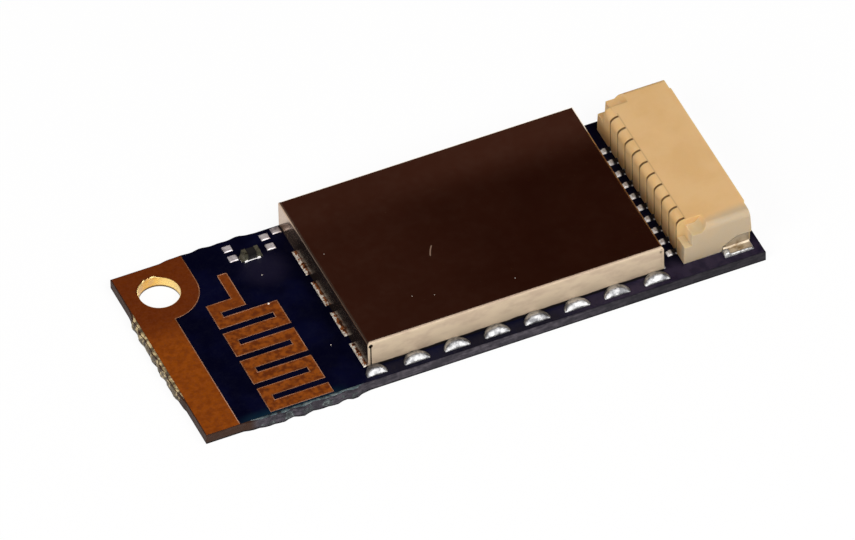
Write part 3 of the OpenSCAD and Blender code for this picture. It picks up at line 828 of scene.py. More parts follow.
@dataclass(frozen=True)
class IvoryFinish(Finish):
    """Ivory nylon that light soaks into, with painted light that makes the header's near end paler and
    painted shade on the near end's step tops, in the comb's slots and along the seam at their ends.
    """

    ground: Colour = srgb(217, 180, 127)
    cloud: Colour = srgb(212, 173, 118)
    cloud_size: float = 1.8 * MM
    cloud_from: Span = (0.36, 0.7)
    # Painted light: paler towards the near end, with a wandering edge.
    pale: Colour = srgb(182, 164, 136)
    pale_y: Span = (0, 0)
    wander: float = 0.2 * MM
    # Painted shade: the up-facing tops of the near end's steps darkened.
    step: Colour = srgb(190, 168, 128)
    step_x: Span = (0, 0)
    step_y: float = 0
    step_z: Span = (0, 0)
    step_facing: Span = (0.1, 0.4)
    shade: Colour = srgb(112, 80, 42)
    slot_pitch: float = 1 * MM
    slot_half: Span = (0.05 * MM, 0.1 * MM)
    slots_y: Span = (0, 0)
    slots_x: Span = (0, 0)
    seam_half: float = 0.07 * MM
    seam_share: float = 0.3
    seam_facing: float = 0.3
    skin: float = 0.1 * MM
    rough: Span = (0.6, 0.74)
    relief: float = 0.004 * MM
    soak: float = 0.7
    soak_depth: float = 0.35 * MM
    soak_tint: Colour = (1, 0.75, 0.45)

    def draw(self, sketch: NodeSketch) -> None:
        """Add the finish's nodes.

        Args:
            sketch: Material to draw on.
        """
        clouds = sketch.grain(self.cloud_size, detail=4)
        x, y, z = sketch.axes()
        wander = sketch.product(sketch.span(clouds, *MOST_NOISE, -1, 1), self.wander)
        # Painted shade on the up-facing step tops at the near end.
        step = sketch.product(
            sketch.span(x, *self.step_x, 1, 0), sketch.span(z, *self.step_z, 1, 0),
            sketch.calc("LESS_THAN", y, self.step_y), sketch.span(sketch.facing()[2], *self.step_facing),
        )
        # Painted light at the near end; painted shade on the step tops, in the slots and along the seam.
        tone = sketch.blend(
            self.ground, (sketch.span(clouds, *self.cloud_from), self.cloud),
            (sketch.span(sketch.calc("ADD", y, wander), *self.pale_y, 1, 0), self.pale),
            (step, self.step), (self.slot_lines(sketch, x, y), self.shade),
        )
        sketch.wear(
            Subsurface_Weight=self.soak, Subsurface_Scale=self.soak_depth, Subsurface_Radius=self.soak_tint
        )
        sketch.skin(tone, sketch.grain(self.skin, seed=2), self.rough, self.relief, strength=0.5)

    def slot_lines(self, sketch: NodeSketch, x: Socket, y: Socket) -> Socket:
        """Mark the narrow slots in the comb's rear, where no light gets in, and the seam at their ends.

        Args:
            sketch: Material to draw on.
            x: Place along the board.
            y: Place across the board.

        Returns:
            1 in a slot, less along the seam and 0 elsewhere.
        """
        first, last = self.slots_y
        room = self.slot_pitch / 4
        beside = sketch.calc("PINGPONG", sketch.calc("SUBTRACT", y, first), self.slot_pitch / 2)
        slots = sketch.product(
            sketch.span(beside, *self.slot_half, 1, 0), sketch.span(x, *self.slots_x, 1, 0)
        )
        from_seam = sketch.calc("ABSOLUTE", sketch.calc("SUBTRACT", x, self.slots_x[1]))
        seam = sketch.product(
            sketch.span(from_seam, 0, self.seam_half, self.seam_share, 0),
            sketch.calc("GREATER_THAN", sketch.facing()[2], self.seam_facing),
        )
        return sketch.product(
            sketch.calc("MAXIMUM", slots, seam), sketch.calc("GREATER_THAN", y, first - room),
            sketch.calc("LESS_THAN", y, last + room),
        )


@dataclass(frozen=True)
class MouldedFinish(Finish):
    """Moulded plastic or ceramic: cloudy colour and a fine skin."""

    ground: Colour
    cloud: Colour
    rough: Span = (0.38, 0.55)
    cloud_size: float = 0.7 * MM
    cloud_from: Span = (0.36, 0.7)
    skin: float = 0.06 * MM
    relief: float = 0.006 * MM

    def draw(self, sketch: NodeSketch) -> None:
        """Add the finish's nodes.

        Args:
            sketch: Material to draw on.
        """
        clouds = sketch.grain(self.cloud_size, detail=4)
        tone = sketch.blend(self.ground, (sketch.span(clouds, *self.cloud_from), self.cloud))
        sketch.skin(tone, sketch.grain(self.skin, seed=2), self.rough, self.relief, strength=0.6)


class Palette:
    """Finishes of the module, each built once."""

    end_fibre = FibreFinish(
        "end_fibre", srgb(84, 74, 58), srgb(124, 112, 86), srgb(200, 180, 136), srgb(156, 138, 98),
        pale_from=(0.66, 0.76), bead_pitch=BEAD_PITCH,
    )
    near_fibre = FibreFinish(
        "near_fibre", srgb(26, 28, 32), srgb(56, 62, 64), srgb(104, 114, 112), srgb(74, 92, 96),
        pale_from=(0.7, 0.8),
    )
    far_fibre = FibreFinish(
        "far_fibre", srgb(22, 22, 34), srgb(38, 40, 50), srgb(96, 92, 84), srgb(30, 36, 46),
        pale_from=(0.76, 0.86),
    )
    copper = CopperFinish("brown_copper")
    antenna = CopperFinish(
        "antenna_copper", srgb(164, 84, 18), srgb(114, 50, 8), srgb(78, 36, 8), srgb(134, 62, 10),
        stain_share=0.5,
    )
    # Pale line along the mask's openings over copper: a painted highlight.
    rim = MouldedFinish(
        "copper_rim_highlight", srgb(150, 104, 74), srgb(122, 76, 44), cloud_size=0.6 * MM, skin=0.1 * MM
    )
    gold = MetalFinish(
        "gold_plate", srgb(226, 190, 108), srgb(184, 132, 54), grain=0.3 * MM, relief=0.01 * MM, metallic=1
    )
    burr = MetalFinish(
        "gold_burr", srgb(255, 232, 160), srgb(206, 134, 48), rough=(0.2, 0.36), grain=0.08 * MM,
        relief=0.01 * MM,
    )
    pads = MetalFinish(
        "tinned_pads", srgb(232, 226, 226), srgb(164, 154, 158), grain=0.16 * MM, relief=0.006 * MM
    )
    solder = MetalFinish(
        "bright_solder", srgb(186, 186, 184), srgb(96, 96, 100), rough=(0.24, 0.4), relief=0.012 * MM,
        stain=(0.4, 0.68),
    )
    mounds = MetalFinish(
        "mound_solder", srgb(160, 160, 160), srgb(96, 96, 98), rough=(0.28, 0.42), grain=0.14 * MM,
        relief=0.014 * MM, metallic=0.85, stain=(0.4, 0.66),
    )
    # Near-white matt solder: a painted reflection, on the tails and on the chip's glint drops.
    tails = MetalFinish(
        "white_solder", srgb(255, 254, 252), srgb(222, 218, 216), rough=(0.22, 0.36), grain=0.12 * MM,
        relief=0.008 * MM, metallic=0.1,
    )
    tabs = MetalFinish(
        "tab_tin", srgb(172, 158, 136), srgb(118, 96, 64), rough=(0.3, 0.44), grain=0.22 * MM
    )
    tin = MetalFinish(
        "contact_tin", srgb(230, 226, 222), srgb(186, 182, 178), rough=(0.28, 0.42), grain=0.2 * MM,
        metallic=0.35,
    )
    ends = MetalFinish("chip_ends", srgb(126, 124, 104), srgb(54, 52, 42), metallic=0.7)
    black = MouldedFinish(
        "chip_black", srgb(12, 11, 11), srgb(22, 20, 20), rough=(0.45, 0.65), cloud_size=0.9 * MM,
        skin=0.05 * MM,
    )
    ceramic = MouldedFinish("chip_ceramic", srgb(146, 112, 82), srgb(120, 90, 64), rough=(0.5, 0.7))
    white = MouldedFinish("chip_white", srgb(224, 222, 214), srgb(204, 200, 190), rough=(0.4, 0.6))
    white_speck = MouldedFinish(
        "white_speck", srgb(252, 246, 238), srgb(206, 190, 172), rough=(0.6, 0.8), cloud_size=0.05 * MM,
        skin=0.02 * MM,
    )

    def __init__(self) -> None:
        """Start with no material built."""
        self._made: dict[Finish, bpy.types.Material] = {}

    def material(self, finish: Finish) -> bpy.types.Material:
        """Give a finish's material, building it at its first use.

        Args:
            finish: Finish to wear.

        Returns:
            Its material.
        """
        if finish not in self._made:
            self._made[finish] = finish.material()
        return self._made[finish]


PALETTE = Palette()


def dress(finish: Finish, nodes: Iterable[str]) -> None:
    """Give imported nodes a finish.

    Args:
        finish: Finish to wear.
        nodes: Names of the nodes.
    """
    for name in nodes:
        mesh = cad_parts[name].data
        mesh.materials.clear()
        mesh.materials.append(PALETTE.material(finish))
        LOG.info("node %s wears %s", name, finish.label)


def merged_copy(node: str) -> bmesh.types.BMesh:
    """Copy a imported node's loose triangles as one joined shape.

    Args:
        node: Name of the node.

    Returns:
        The copy.
    """
    shape = bmesh.new()
    shape.from_mesh(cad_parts[node].data)
    bmesh.ops.remove_doubles(shape, verts=shape.verts, dist=WELD)
    return shape


def islands(node: str) -> list[Box]:
    """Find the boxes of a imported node's separate solids.

    Args:
        node: Name of the node.

    Returns:
        Lowest and highest corner of each, ordered along X and then Y.
    """
    shape = merged_copy(node)
    left = set(shape.verts)
    boxes = []
    while left:
        front = [left.pop()]
        found = list(front)
        while front:
            vert = front.pop()
            linked = [edge.other_vert(vert) for edge in vert.link_edges]
            fresh = [other for other in linked if other in left]
            left.difference_update(fresh)
            front.extend(fresh)
            found.extend(fresh)
        points = [vert.co.copy() for vert in found]
        low = Vector(min(point[axis] for point in points) for axis in range(3))
        high = Vector(max(point[axis] for point in points) for axis in range(3))
        boxes.append((low, high))
    shape.free()
    return sorted(boxes, key=lambda box: (round(box[0].x, SORT_DIGITS), round(box[0].y, SORT_DIGITS)))


def make_piece(
    shape: bmesh.types.BMesh, name: str, finish: Finish, stands_for: Sequence[str] = (),
    crease: float = math.pi,
) -> bpy.types.Object:
    """Turn a finished shape into a piece that rides on the module.

    Args:
        shape: Shape in the module's frame, freed here.
        name: Name of the piece.
        finish: Finish to wear.
        stands_for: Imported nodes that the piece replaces.
        crease: Angle past which two faces meet in a sharp edge.

    Returns:
        The piece.
    """
    bmesh.ops.recalc_face_normals(shape, faces=shape.faces)
    mesh = bpy.data.meshes.new(name)
    shape.to_mesh(mesh)
    shape.free()
    mesh.materials.append(PALETTE.material(finish))
    mesh.polygons.foreach_set("use_smooth", [True] * len(mesh.polygons))
    if crease < math.pi:
        mesh.set_sharp_from_angle(angle=crease)
    piece = bpy.data.objects.new(name, mesh)
    bpy.context.scene.collection.objects.link(piece)
    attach(piece, BODY)
    if stands_for:
        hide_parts(*stands_for)
    LOG.info("piece %s has %d faces", name, len(mesh.polygons))
    return piece


def ripple(point: Vector, waves: Waves) -> float:
    """Give smooth noise at a place.

    Args:
        point: Place in the module's frame.
        waves: Height, length and seed of each wave.

    Returns:
        The sum of the waves, each at most its height up or down.
    """
    return sum(
        height * noise.noise(point / length + Vector((seed, -seed, 2 * seed)))
        for height, length, seed in waves
    )


@dataclass
class SolderBed:
    """Solder lying on a flat rectangle, with a crown given by a formula.

    The crown takes u from -1 to 1 along the bed and v from 0 to 1 across it. The outline gives the
    share of the bed's length that is covered at v.
    """

    corner: Vector
    along: Vector
    across: Vector
    crown: Crown
    outline: Callable[[float], float] = lambda v: 1
    rim: float = 0.012 * MM
    waviness: float = 0.012 * MM
    lump: float = 0.22 * MM
    finer: float = 2.3
    fine_share: float = 0.5
    calm_rims: float = 3
    cell: float = 0.04 * MM
    fewest_cells: int = 6

    def add_to(self, shape: bmesh.types.BMesh) -> None:
        """Add the bed to a shape as a closed solid.

        Args:
            shape: Shape that takes the bed.
        """
        waves = ((1, self.lump, 3), (self.fine_share, self.lump / self.finer, 5))
        columns = max(self.fewest_cells, round(self.along.length / self.cell))
        rows = max(self.fewest_cells, round(self.across.length / self.cell))
        made = bmesh.ops.create_grid(shape, x_segments=columns, y_segments=rows, size=0.5)["verts"]
        for vert in made:
            u, v = 2 * vert.co.x, vert.co.y + 0.5
            spot = self.corner + self.along * (vert.co.x * self.outline(v) + 0.5) + self.across * v
            height = self.crown(u, v)
            wave = self.waviness * ripple(spot, waves)
            height = max(0, height + wave * min(1, height / self.rim / self.calm_rims))
            vert.co = spot + UP * (self.rim + height)
        rim_edges = [edge for edge in {e for vert in made for e in vert.link_edges} if edge.is_boundary]
        dropped = bmesh.ops.extrude_edge_only(shape, edges=rim_edges)["geom"]
        for vert in (part for part in dropped if isinstance(part, bmesh.types.BMVert)):
            vert.co.z = self.corner.z
        foot = [edge for edge in dropped if isinstance(edge, bmesh.types.BMEdge) and edge.is_boundary]
        bmesh.ops.edgeloop_fill(shape, edges=foot)


def level_bed(corner: Vector, length: float, width: float, crown: Crown, **sizes: float) -> SolderBed:
    """Make a bed that runs along X and reaches across Y.

    Args:
        corner: Its corner of least X and Y.
        length: How far it runs.
        width: How far it reaches.
        crown: Its crown.
        **sizes: Other sizes of the bed.

    Returns:
        The bed.
    """
    return SolderBed(corner, Vector((length, 0, 0)), Vector((0, width, 0)), crown, **sizes)


def wall_fillet(height: float, sag: float, fill: float = 4) -> Crown:
    """Make the crown of solder that climbs a wall at v = 0 and thins out from it.

    Args:
        height: How far it climbs.
        sag: Power that hollows the slope.
        fill: Power that fills the ends.

    Returns:
        The crown.
    """
    return lambda u, v: height * math.sqrt(max(0, 1 - u ** fill)) * (1 - v) ** sag


def leaning_dome(
    height: float, crest: float = 1 / 3, wall: float = 0.8, slope: float = 0.8, fill: float = 2.4
) -> Crown:
    """Make the crown of a drop that leans on a wall at v = 0.

    Args:
        height: Its greatest height.
        crest: Share of the width from the wall to the greatest height.
        wall: Share of the height that it has at the wall.
        slope: Power that fills the outer slope.
        fill: Power that fills the ends.

    Returns:
        The crown.
    """
    def crown(u: float, v: float) -> float:
        """Give the height at a place on the bed.

        Args:
            u: Place along it.
            v: Place across it.

        Returns:
            The height.
        """
        fall = math.cos(math.pi / 2 * max(0, (v - crest) / (1 - crest))) ** slope
        lean = wall + (1 - wall) * min(1, v / crest)
        return height * fall * lean * math.sqrt(max(0, 1 - abs(u) ** fill))

    return crown


def spread_foot(narrow: float, trim: float = 0.2, late: float = 8) -> Callable[[float], float]:
    """Make the outline of a drop that is narrow at a wall, spreads from it and rounds off.

    Args:
        narrow: Share of its length that reaches the wall.
        trim: Share of the spread that is lost at the outer edge.
        late: Power that keeps that loss near the edge.

    Returns:
        The outline.
    """
    return lambda v: (
        math.sqrt(1 - (1 - narrow ** 2) * (1 - v) ** 2) * (1 - (1 - narrow) * trim * v ** late)
    )


def pillow(height: float, square: float) -> Crown:
    """Make the crown of a drop that covers its bed.

    Args:
        height: Height in the middle.
        square: Power that fills the corners.

    Returns:
        The crown.
    """
    def crown(u: float, v: float) -> float:
        """Give the height at a place on the bed."""
        w = 2 * v - 1
        return height * math.sqrt(max(0, 1 - abs(u) ** square) * max(0, 1 - abs(w) ** square))

    return crown


@dataclass
class Board:
    """Glass-fibre board with its mask, bare copper, plated hole and broken edges."""

    edge_inset: float = 0.06 * MM
    proud_from: float = 0.002 * MM
    fibre_cell: float = 0.05 * MM
    fibre_rows: int = 16
    fibre_depth: float = 0.08 * MM
    fibre_rise: float = 0.02 * MM
    fibre_taper: float = 12
    fibre_square: float = 0.55
    fibre_belly: float = 0.5
    bead_h: float = 0.06 * MM
    lobe_h: float = 0.1 * MM
    lobe: Waves = ((1, 0.6 * MM, 5),)
    tear_h: float = 0.05 * MM
    tear: Waves = ((1, 0.3 * MM, 2), (0.6, 0.11 * MM, 9))
    rim_w: float = 0.055 * MM
    rim_t: float = 0.006 * MM
    burr_w: float = 0.14 * MM
    burr_h: float = 0.2 * MM
    burr_arc: Span = (math.radians(60), math.radians(178))
    burr_profile: tuple[Spot, ...] = ((-0.1, 0), (1, 0), (0.6, 0.7), (0.2, 1), (-0.2, 0.8))
    burr_steps: int = 48
    burr_fade: float = 5
    burr_least: float = 0.05
    burr_mean: float = 0.5
    burr_tear: Waves = ((0.9, 0.28 * MM, 4), (0.5, 0.1 * MM, 6))
    teal_x: Span = (1.6 * MM, 9 * MM)
    dull_radii: Span = (-1, -0.3)
    pale_radii: Span = (-0.1, 0.8)
    hole_foot: Span = (0.08 * MM, 0.16 * MM)

    def __post_init__(self) -> None:
        """Take the places of the board's parts from the frame."""
        self.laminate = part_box("board_laminate")
        self.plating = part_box("hole_plating")
        points = [vert.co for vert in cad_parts["board_laminate"].data.vertices]
        self.low = min(points, key=lambda point: point.x + point.y).copy()
        self.high = max(points, key=lambda point: point.x + point.y).copy()
        self.hole = (self.plating[0] + self.plating[1]) / 2
        self.hole_r = (self.plating[1].x - self.plating[0].x) / 2

    def build(self) -> None:
        """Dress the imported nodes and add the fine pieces."""
        dress(LaminateFinish("laminate", hole=tuple(self.hole)), ["board_laminate"])
        teal_x = count_from(self.low.x, self.teal_x)
        dress(MaskFinish("solder_mask", near_edge=self.low.y, teal_x=teal_x), ["mask_top"])
        dress(Palette.copper, ["ground_copper"])
        dress(Palette.antenna, ["antenna_trace"])
        plating = PlatingFinish(
            "hole_plating", dull_x=count_from(self.hole.x, self.dull_radii, self.hole_r),
            pale_x=count_from(self.hole.x, self.pale_radii, self.hole_r),
            dark_z=count_from(self.plating[0].z, self.hole_foot),
        )
        dress(plating, ["hole_plating"])
        self.broken_edge(Side.NEAR, Palette.near_fibre, self.fibre_rise)
        self.broken_edge(Side.FAR, Palette.far_fibre, 0)
        self.broken_edge(Side.ANTENNA_END, Palette.end_fibre, self.fibre_rise, self.bead_h)
        self.copper_rim_highlight("ground_copper", "ground_rim_highlight")
        self.copper_rim_highlight("antenna_trace", "antenna_rim_highlight")
        self.burr()

    def stands_out(self, side: Side, edge: float) -> list[Spot]:
        """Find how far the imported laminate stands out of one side.

        Args:
            side: Side of the board.
            edge: Where the board's plain edge lies.

        Returns:
            Places along the side with the distance there, in order.
        """
        points = {}
        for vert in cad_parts["board_laminate"].data.vertices:
            proud = vert.co.dot(side.out) - edge
            if proud > self.proud_from:
                points[round(vert.co.dot(side.along), PLACE_DIGITS)] = proud
        return sorted(points.items())

    def broken_edge(self, side: Side, finish: Finish, rise: float, bead: float = 0) -> None:
        """Lay torn fibres over one broken stretch.

        Args:
            side: Side of the board.
            finish: Finish of the fibres.
            rise: How far they stand above the laminate.
            bead: How far the beads left by the drill stand out.
        """
        edge = furthest((self.low, self.high), side.out)
        points = self.stands_out(side, edge)
        first, last = points[0][0], points[-1][0]
        middle = (self.laminate[0].z + self.laminate[1].z + rise) / 2
        half = (self.laminate[1].z - self.laminate[0].z + rise) / 2

        def proud_at(place: float) -> float:
            """Give how far the laminate stands out at a place along the side.

            Args:
                place: The place.

            Returns:
                The distance, or 0 past the broken stretch.
            """
            for (a, low), (b, high) in zip(points, points[1:]):
                if a <= place <= b:
                    return low + (high - low) * (place - a) / (b - a)
            return 0

        shape = bmesh.new()
        columns = round((last - first) / self.fibre_cell)
        made = bmesh.ops.create_grid(shape, x_segments=columns, y_segments=self.fibre_rows, size=0.5)
        for vert in made["verts"]:
            share, angle = vert.co.x + 0.5, vert.co.y * math.pi
            place = first + share * (last - first)
            taper = min(1, self.fibre_taper * share, self.fibre_taper * (1 - share))
            lift = math.copysign(abs(math.sin(angle)) ** self.fibre_square, angle)
            spot = side.along * place + UP * (middle + half * lift)
            if bead:
                lobe = bead * math.sqrt(abs(math.sin(math.pi * place / BEAD_PITCH)))
            else:
                lobe = self.lobe_h * ripple(side.along * place, self.lobe)
            out = self.fibre_depth + proud_at(place) + self.tear_h * ripple(spot, self.tear) + lobe
            out *= math.cos(angle) ** self.fibre_belly
            vert.co = spot + side.out * (edge - self.fibre_depth + out * taper)
        bmesh.ops.edgeloop_fill(shape, edges=[line for line in shape.edges if line.is_boundary])
        make_piece(shape, f"torn_edge_{side.name.lower()}", finish)

    def copper_rim_highlight(self, node: str, name: str) -> None:
        """Lay the pale line, a painted highlight, along the mask's opening over one copper area.

        Args:
            node: Packed copper node.
            name: Name of the new piece.
        """
        shape = merged_copy(node)
        bmesh.ops.delete(shape, geom=[f for f in shape.faces if f.normal.z < FACES_UP], context="FACES")
        band = bmesh.ops.inset_region(
            shape, faces=shape.faces, thickness=self.rim_w, use_boundary=True, use_even_offset=True
        )["faces"]
        kept = {face for face in band if self.meets_mask(face.calc_center_median())}
        bmesh.ops.delete(shape, geom=[f for f in shape.faces if f not in kept], context="FACES")
        bmesh.ops.translate(shape, verts=shape.verts, vec=UP * self.rim_t)
        bmesh.ops.solidify(shape, geom=shape.faces, thickness=self.rim_t)
        make_piece(shape, name, Palette.rim)

    def meets_mask(self, point: Vector) -> bool:
        """Tell whether a place on the copper's outline lies beside the mask.

        Args:
            point: Place on the outline.

        Returns:
            False at the board's own edge and round the hole.
        """
        room = 2 * self.rim_w
        margin = room + self.edge_inset
        inside = all(self.low[a] + margin < point[a] < self.high[a] - margin for a in (0, 1))
        return inside and (point - self.hole).xy.length > self.hole_r + room

    def burr(self) -> None:
        """Raise the ragged lip of plating at the hole's rim."""
        shape = bmesh.new()
        top = self.plating[1].z
        start, end = self.burr_arc
        turn = Matrix.Rotation(start, 3, "Z")
        rim = self.hole.xy.to_3d() + UP * top
        points = [
            turn @ Vector((self.hole_r + out * self.burr_w, 0, up * self.burr_h))
            for out, up in self.burr_profile
        ]
        face = shape.faces.new([shape.verts.new(rim + point) for point in points])
        bmesh.ops.spin(
            shape, geom=[face], cent=self.hole, axis=UP, angle=end - start, steps=self.burr_steps,
            use_duplicate=False,
        )
        for vert in shape.verts:
            ray = (vert.co - self.hole).xy
            share = (math.atan2(ray.y, ray.x) % math.tau - start) / (end - start)
            fade = max(0.0, min(1, self.burr_fade * share, self.burr_fade * (1 - share)))
            grown = fade * max(self.burr_least, self.burr_mean + ripple(vert.co, self.burr_tear))
            flat = ray.normalized() * max(0, ray.length - self.hole_r) * (1 - min(1, grown))
            vert.co.x -= flat.x
            vert.co.y -= flat.y
            vert.co.z = top + (vert.co.z - top) * grown
        make_piece(shape, "hole_burr", Palette.burr)


@dataclass
class MatchingParts:
    """Chip part beside the can with its tinned pads."""

    tin_rise: float = 0.06 * MM
    flat_rise: float = 0.004 * MM
    tin_square: float = 6
    tin_waves: float = 0.2
    tin_lump: float = 0.2 * MM
    crease: float = math.radians(50)
    drop_w: float = 0.09 * MM
    drop_h: float = 0.1 * MM
    bead_w: float = 0.05 * MM
    bead_h: float = 0.02 * MM
    drop_square: float = 2.5
    drop_waves: float = 0.1
    drop_cell: float = 0.02 * MM

    def __post_init__(self) -> None:
        """Take the height of the mask's surface from the frame."""
        self.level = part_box("mask_top")[1].z

    def build(self) -> None:
        """Dress the chip, tin the pads and set the white drops that paint glints."""
        dress(Palette.black, ["matching_chip"])
        dress(Palette.ends, ["matching_chip_ends", "matching_chip_solder"])
        self.tin()
        self.drops()

    def tin(self) -> None:
        """Lay tin on the pads, thin where they are no higher than the mask."""
        shape = bmesh.new()
        for low, high in islands("matching_pads"):
            rise = self.tin_rise if high.z > self.level + self.flat_rise else self.flat_rise
            bed = level_bed(
                low, high.x - low.x, high.y - low.y, pillow(rise, self.tin_square),
                rim=self.level - low.z + self.flat_rise, waviness=self.tin_waves * rise, lump=self.tin_lump,
            )
            bed.add_to(shape)
        make_piece(shape, "matching_tin", Palette.pads, ["matching_pads"], self.crease)

    def drops(self) -> None:
        """Set a white drop at the near corner of each of the chip's ends, as a painted glint, and a thin
        bead between them.
        """
        shape = bmesh.new()
        ends = islands("matching_chip_ends")
        near = ends[0][0].y
        beds = [(low.x, high.x, self.drop_w, self.drop_h) for low, high in ends]
        beds.append((ends[0][1].x, ends[-1][0].x, self.bead_w, self.bead_h))
        for start, end, width, height in beds:
            bed = level_bed(
                Vector((start, near - width, self.level)), end - start, width,
                pillow(height, self.drop_square), waviness=self.drop_waves * height, cell=self.drop_cell,
            )
            bed.add_to(shape)
        make_piece(shape, "chip_glint_drops", Palette.tails)


@dataclass
class ShieldCan:
    """Folded can with the solder that holds it."""

    sheet_t: float = 0.15 * MM
    # Height of the painted shade along the can's near foot, from the board.
    shade_foot_z: Span = (0.18 * MM, 0.24 * MM)
    seam_w: float = 0.08 * MM
    seam_play: float = 0.005 * MM
    relief_r: float = 0.13 * MM
    relief_drop: float = 0.27 * MM
    relief_sides: int = 24
    crease: float = math.radians(40)
    strip_h: float = 0.12 * MM
    strip_w: float = 0.2 * MM
    strip_sag: float = 1.35
    mound_h: float = 0.3 * MM
    mound_w: float = 0.7 * MM
    mound_narrow: float = 0.5
    waviness: float = 0.01 * MM

    def __post_init__(self) -> None:
        """Take the can's box from the frame."""
        self.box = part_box("shield_can")

    def build(self) -> None:
        """Dress the can and its lands, and lay its solder."""
        low, high = self.box
        sheet = CanFinish("can_sheet", top=high.z, shade_foot_z=count_from(low.z, self.shade_foot_z))
        dress(sheet, ["shield_can"])
        self.close_seam(sheet)
        dress(MaskFinish("land_mask"), ["can_lands"])
        stained_shaded = StainedShadedFinish("stained_shaded_solder", wall_x=low.x, width=self.strip_w)
        mound = leaning_dome(self.mound_h)
        strip = wall_fillet(self.strip_h, self.strip_sag)
        self.lay_solder(
            "can_solder_near", Side.NEAR, Palette.mounds, mound, self.mound_w, self.mound_narrow
        )
        self.lay_solder("can_solder_antenna_side", Side.ANTENNA_END, stained_shaded, strip, self.strip_w)
        self.lay_solder("can_solder_connector_side", Side.HEADER_END, Palette.solder, strip, self.strip_w)

    def close_seam(self, sheet: Finish) -> None:
        """Fill the seam and its relief hole at the near header-side corner with tin.

        Args:
            sheet: Finish of the can.
        """
        low, high = self.box[0].z, self.box[1].z - self.relief_drop
        x = self.box[1].x - self.sheet_t - self.seam_w / 2
        y = self.box[0].y + self.sheet_t / 2 + self.seam_play
        size = Vector((self.seam_w + self.seam_play, self.sheet_t, high - low))
        radius = self.relief_r + self.seam_play
        shape = bmesh.new()
        bmesh.ops.create_cube(
            shape, size=1, matrix=Matrix.LocRotScale(Vector((x, y, (low + high) / 2)), None, size)
        )
        bmesh.ops.create_cone(
            shape, cap_ends=True, segments=self.relief_sides, radius1=radius, radius2=radius,
            depth=self.sheet_t,
            matrix=Matrix.Translation((x, y, high)) @ Matrix.Rotation(math.pi / 2, 4, "X"),
        )
        make_piece(shape, "seam_tin", sheet, crease=self.crease)

    def lay_solder(
        self, node: str, side: Side, finish: Finish, crown: Crown, width: float, narrow: float = 1
    ) -> None:
        """Lay solder along one wall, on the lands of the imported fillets.

        Args:
            node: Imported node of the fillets.
            side: Way that the wall faces.
            finish: Finish of the solder.
            crown: Its crown.
            width: How far it reaches from the wall.
            narrow: Share of its length that reaches the wall.
        """
        wall = furthest(self.box, side.out)
        shape = bmesh.new()
        for low, high in islands(node):
            corner = side.along * low.dot(side.along) + side.out * wall + UP * low.z
            along = side.along * (high - low).dot(side.along)
            bed = SolderBed(
                corner, along, side.out * width, crown, spread_foot(narrow), waviness=self.waviness
            )
            bed.add_to(shape)
        make_piece(shape, f"{node}_bright", finish, [node])


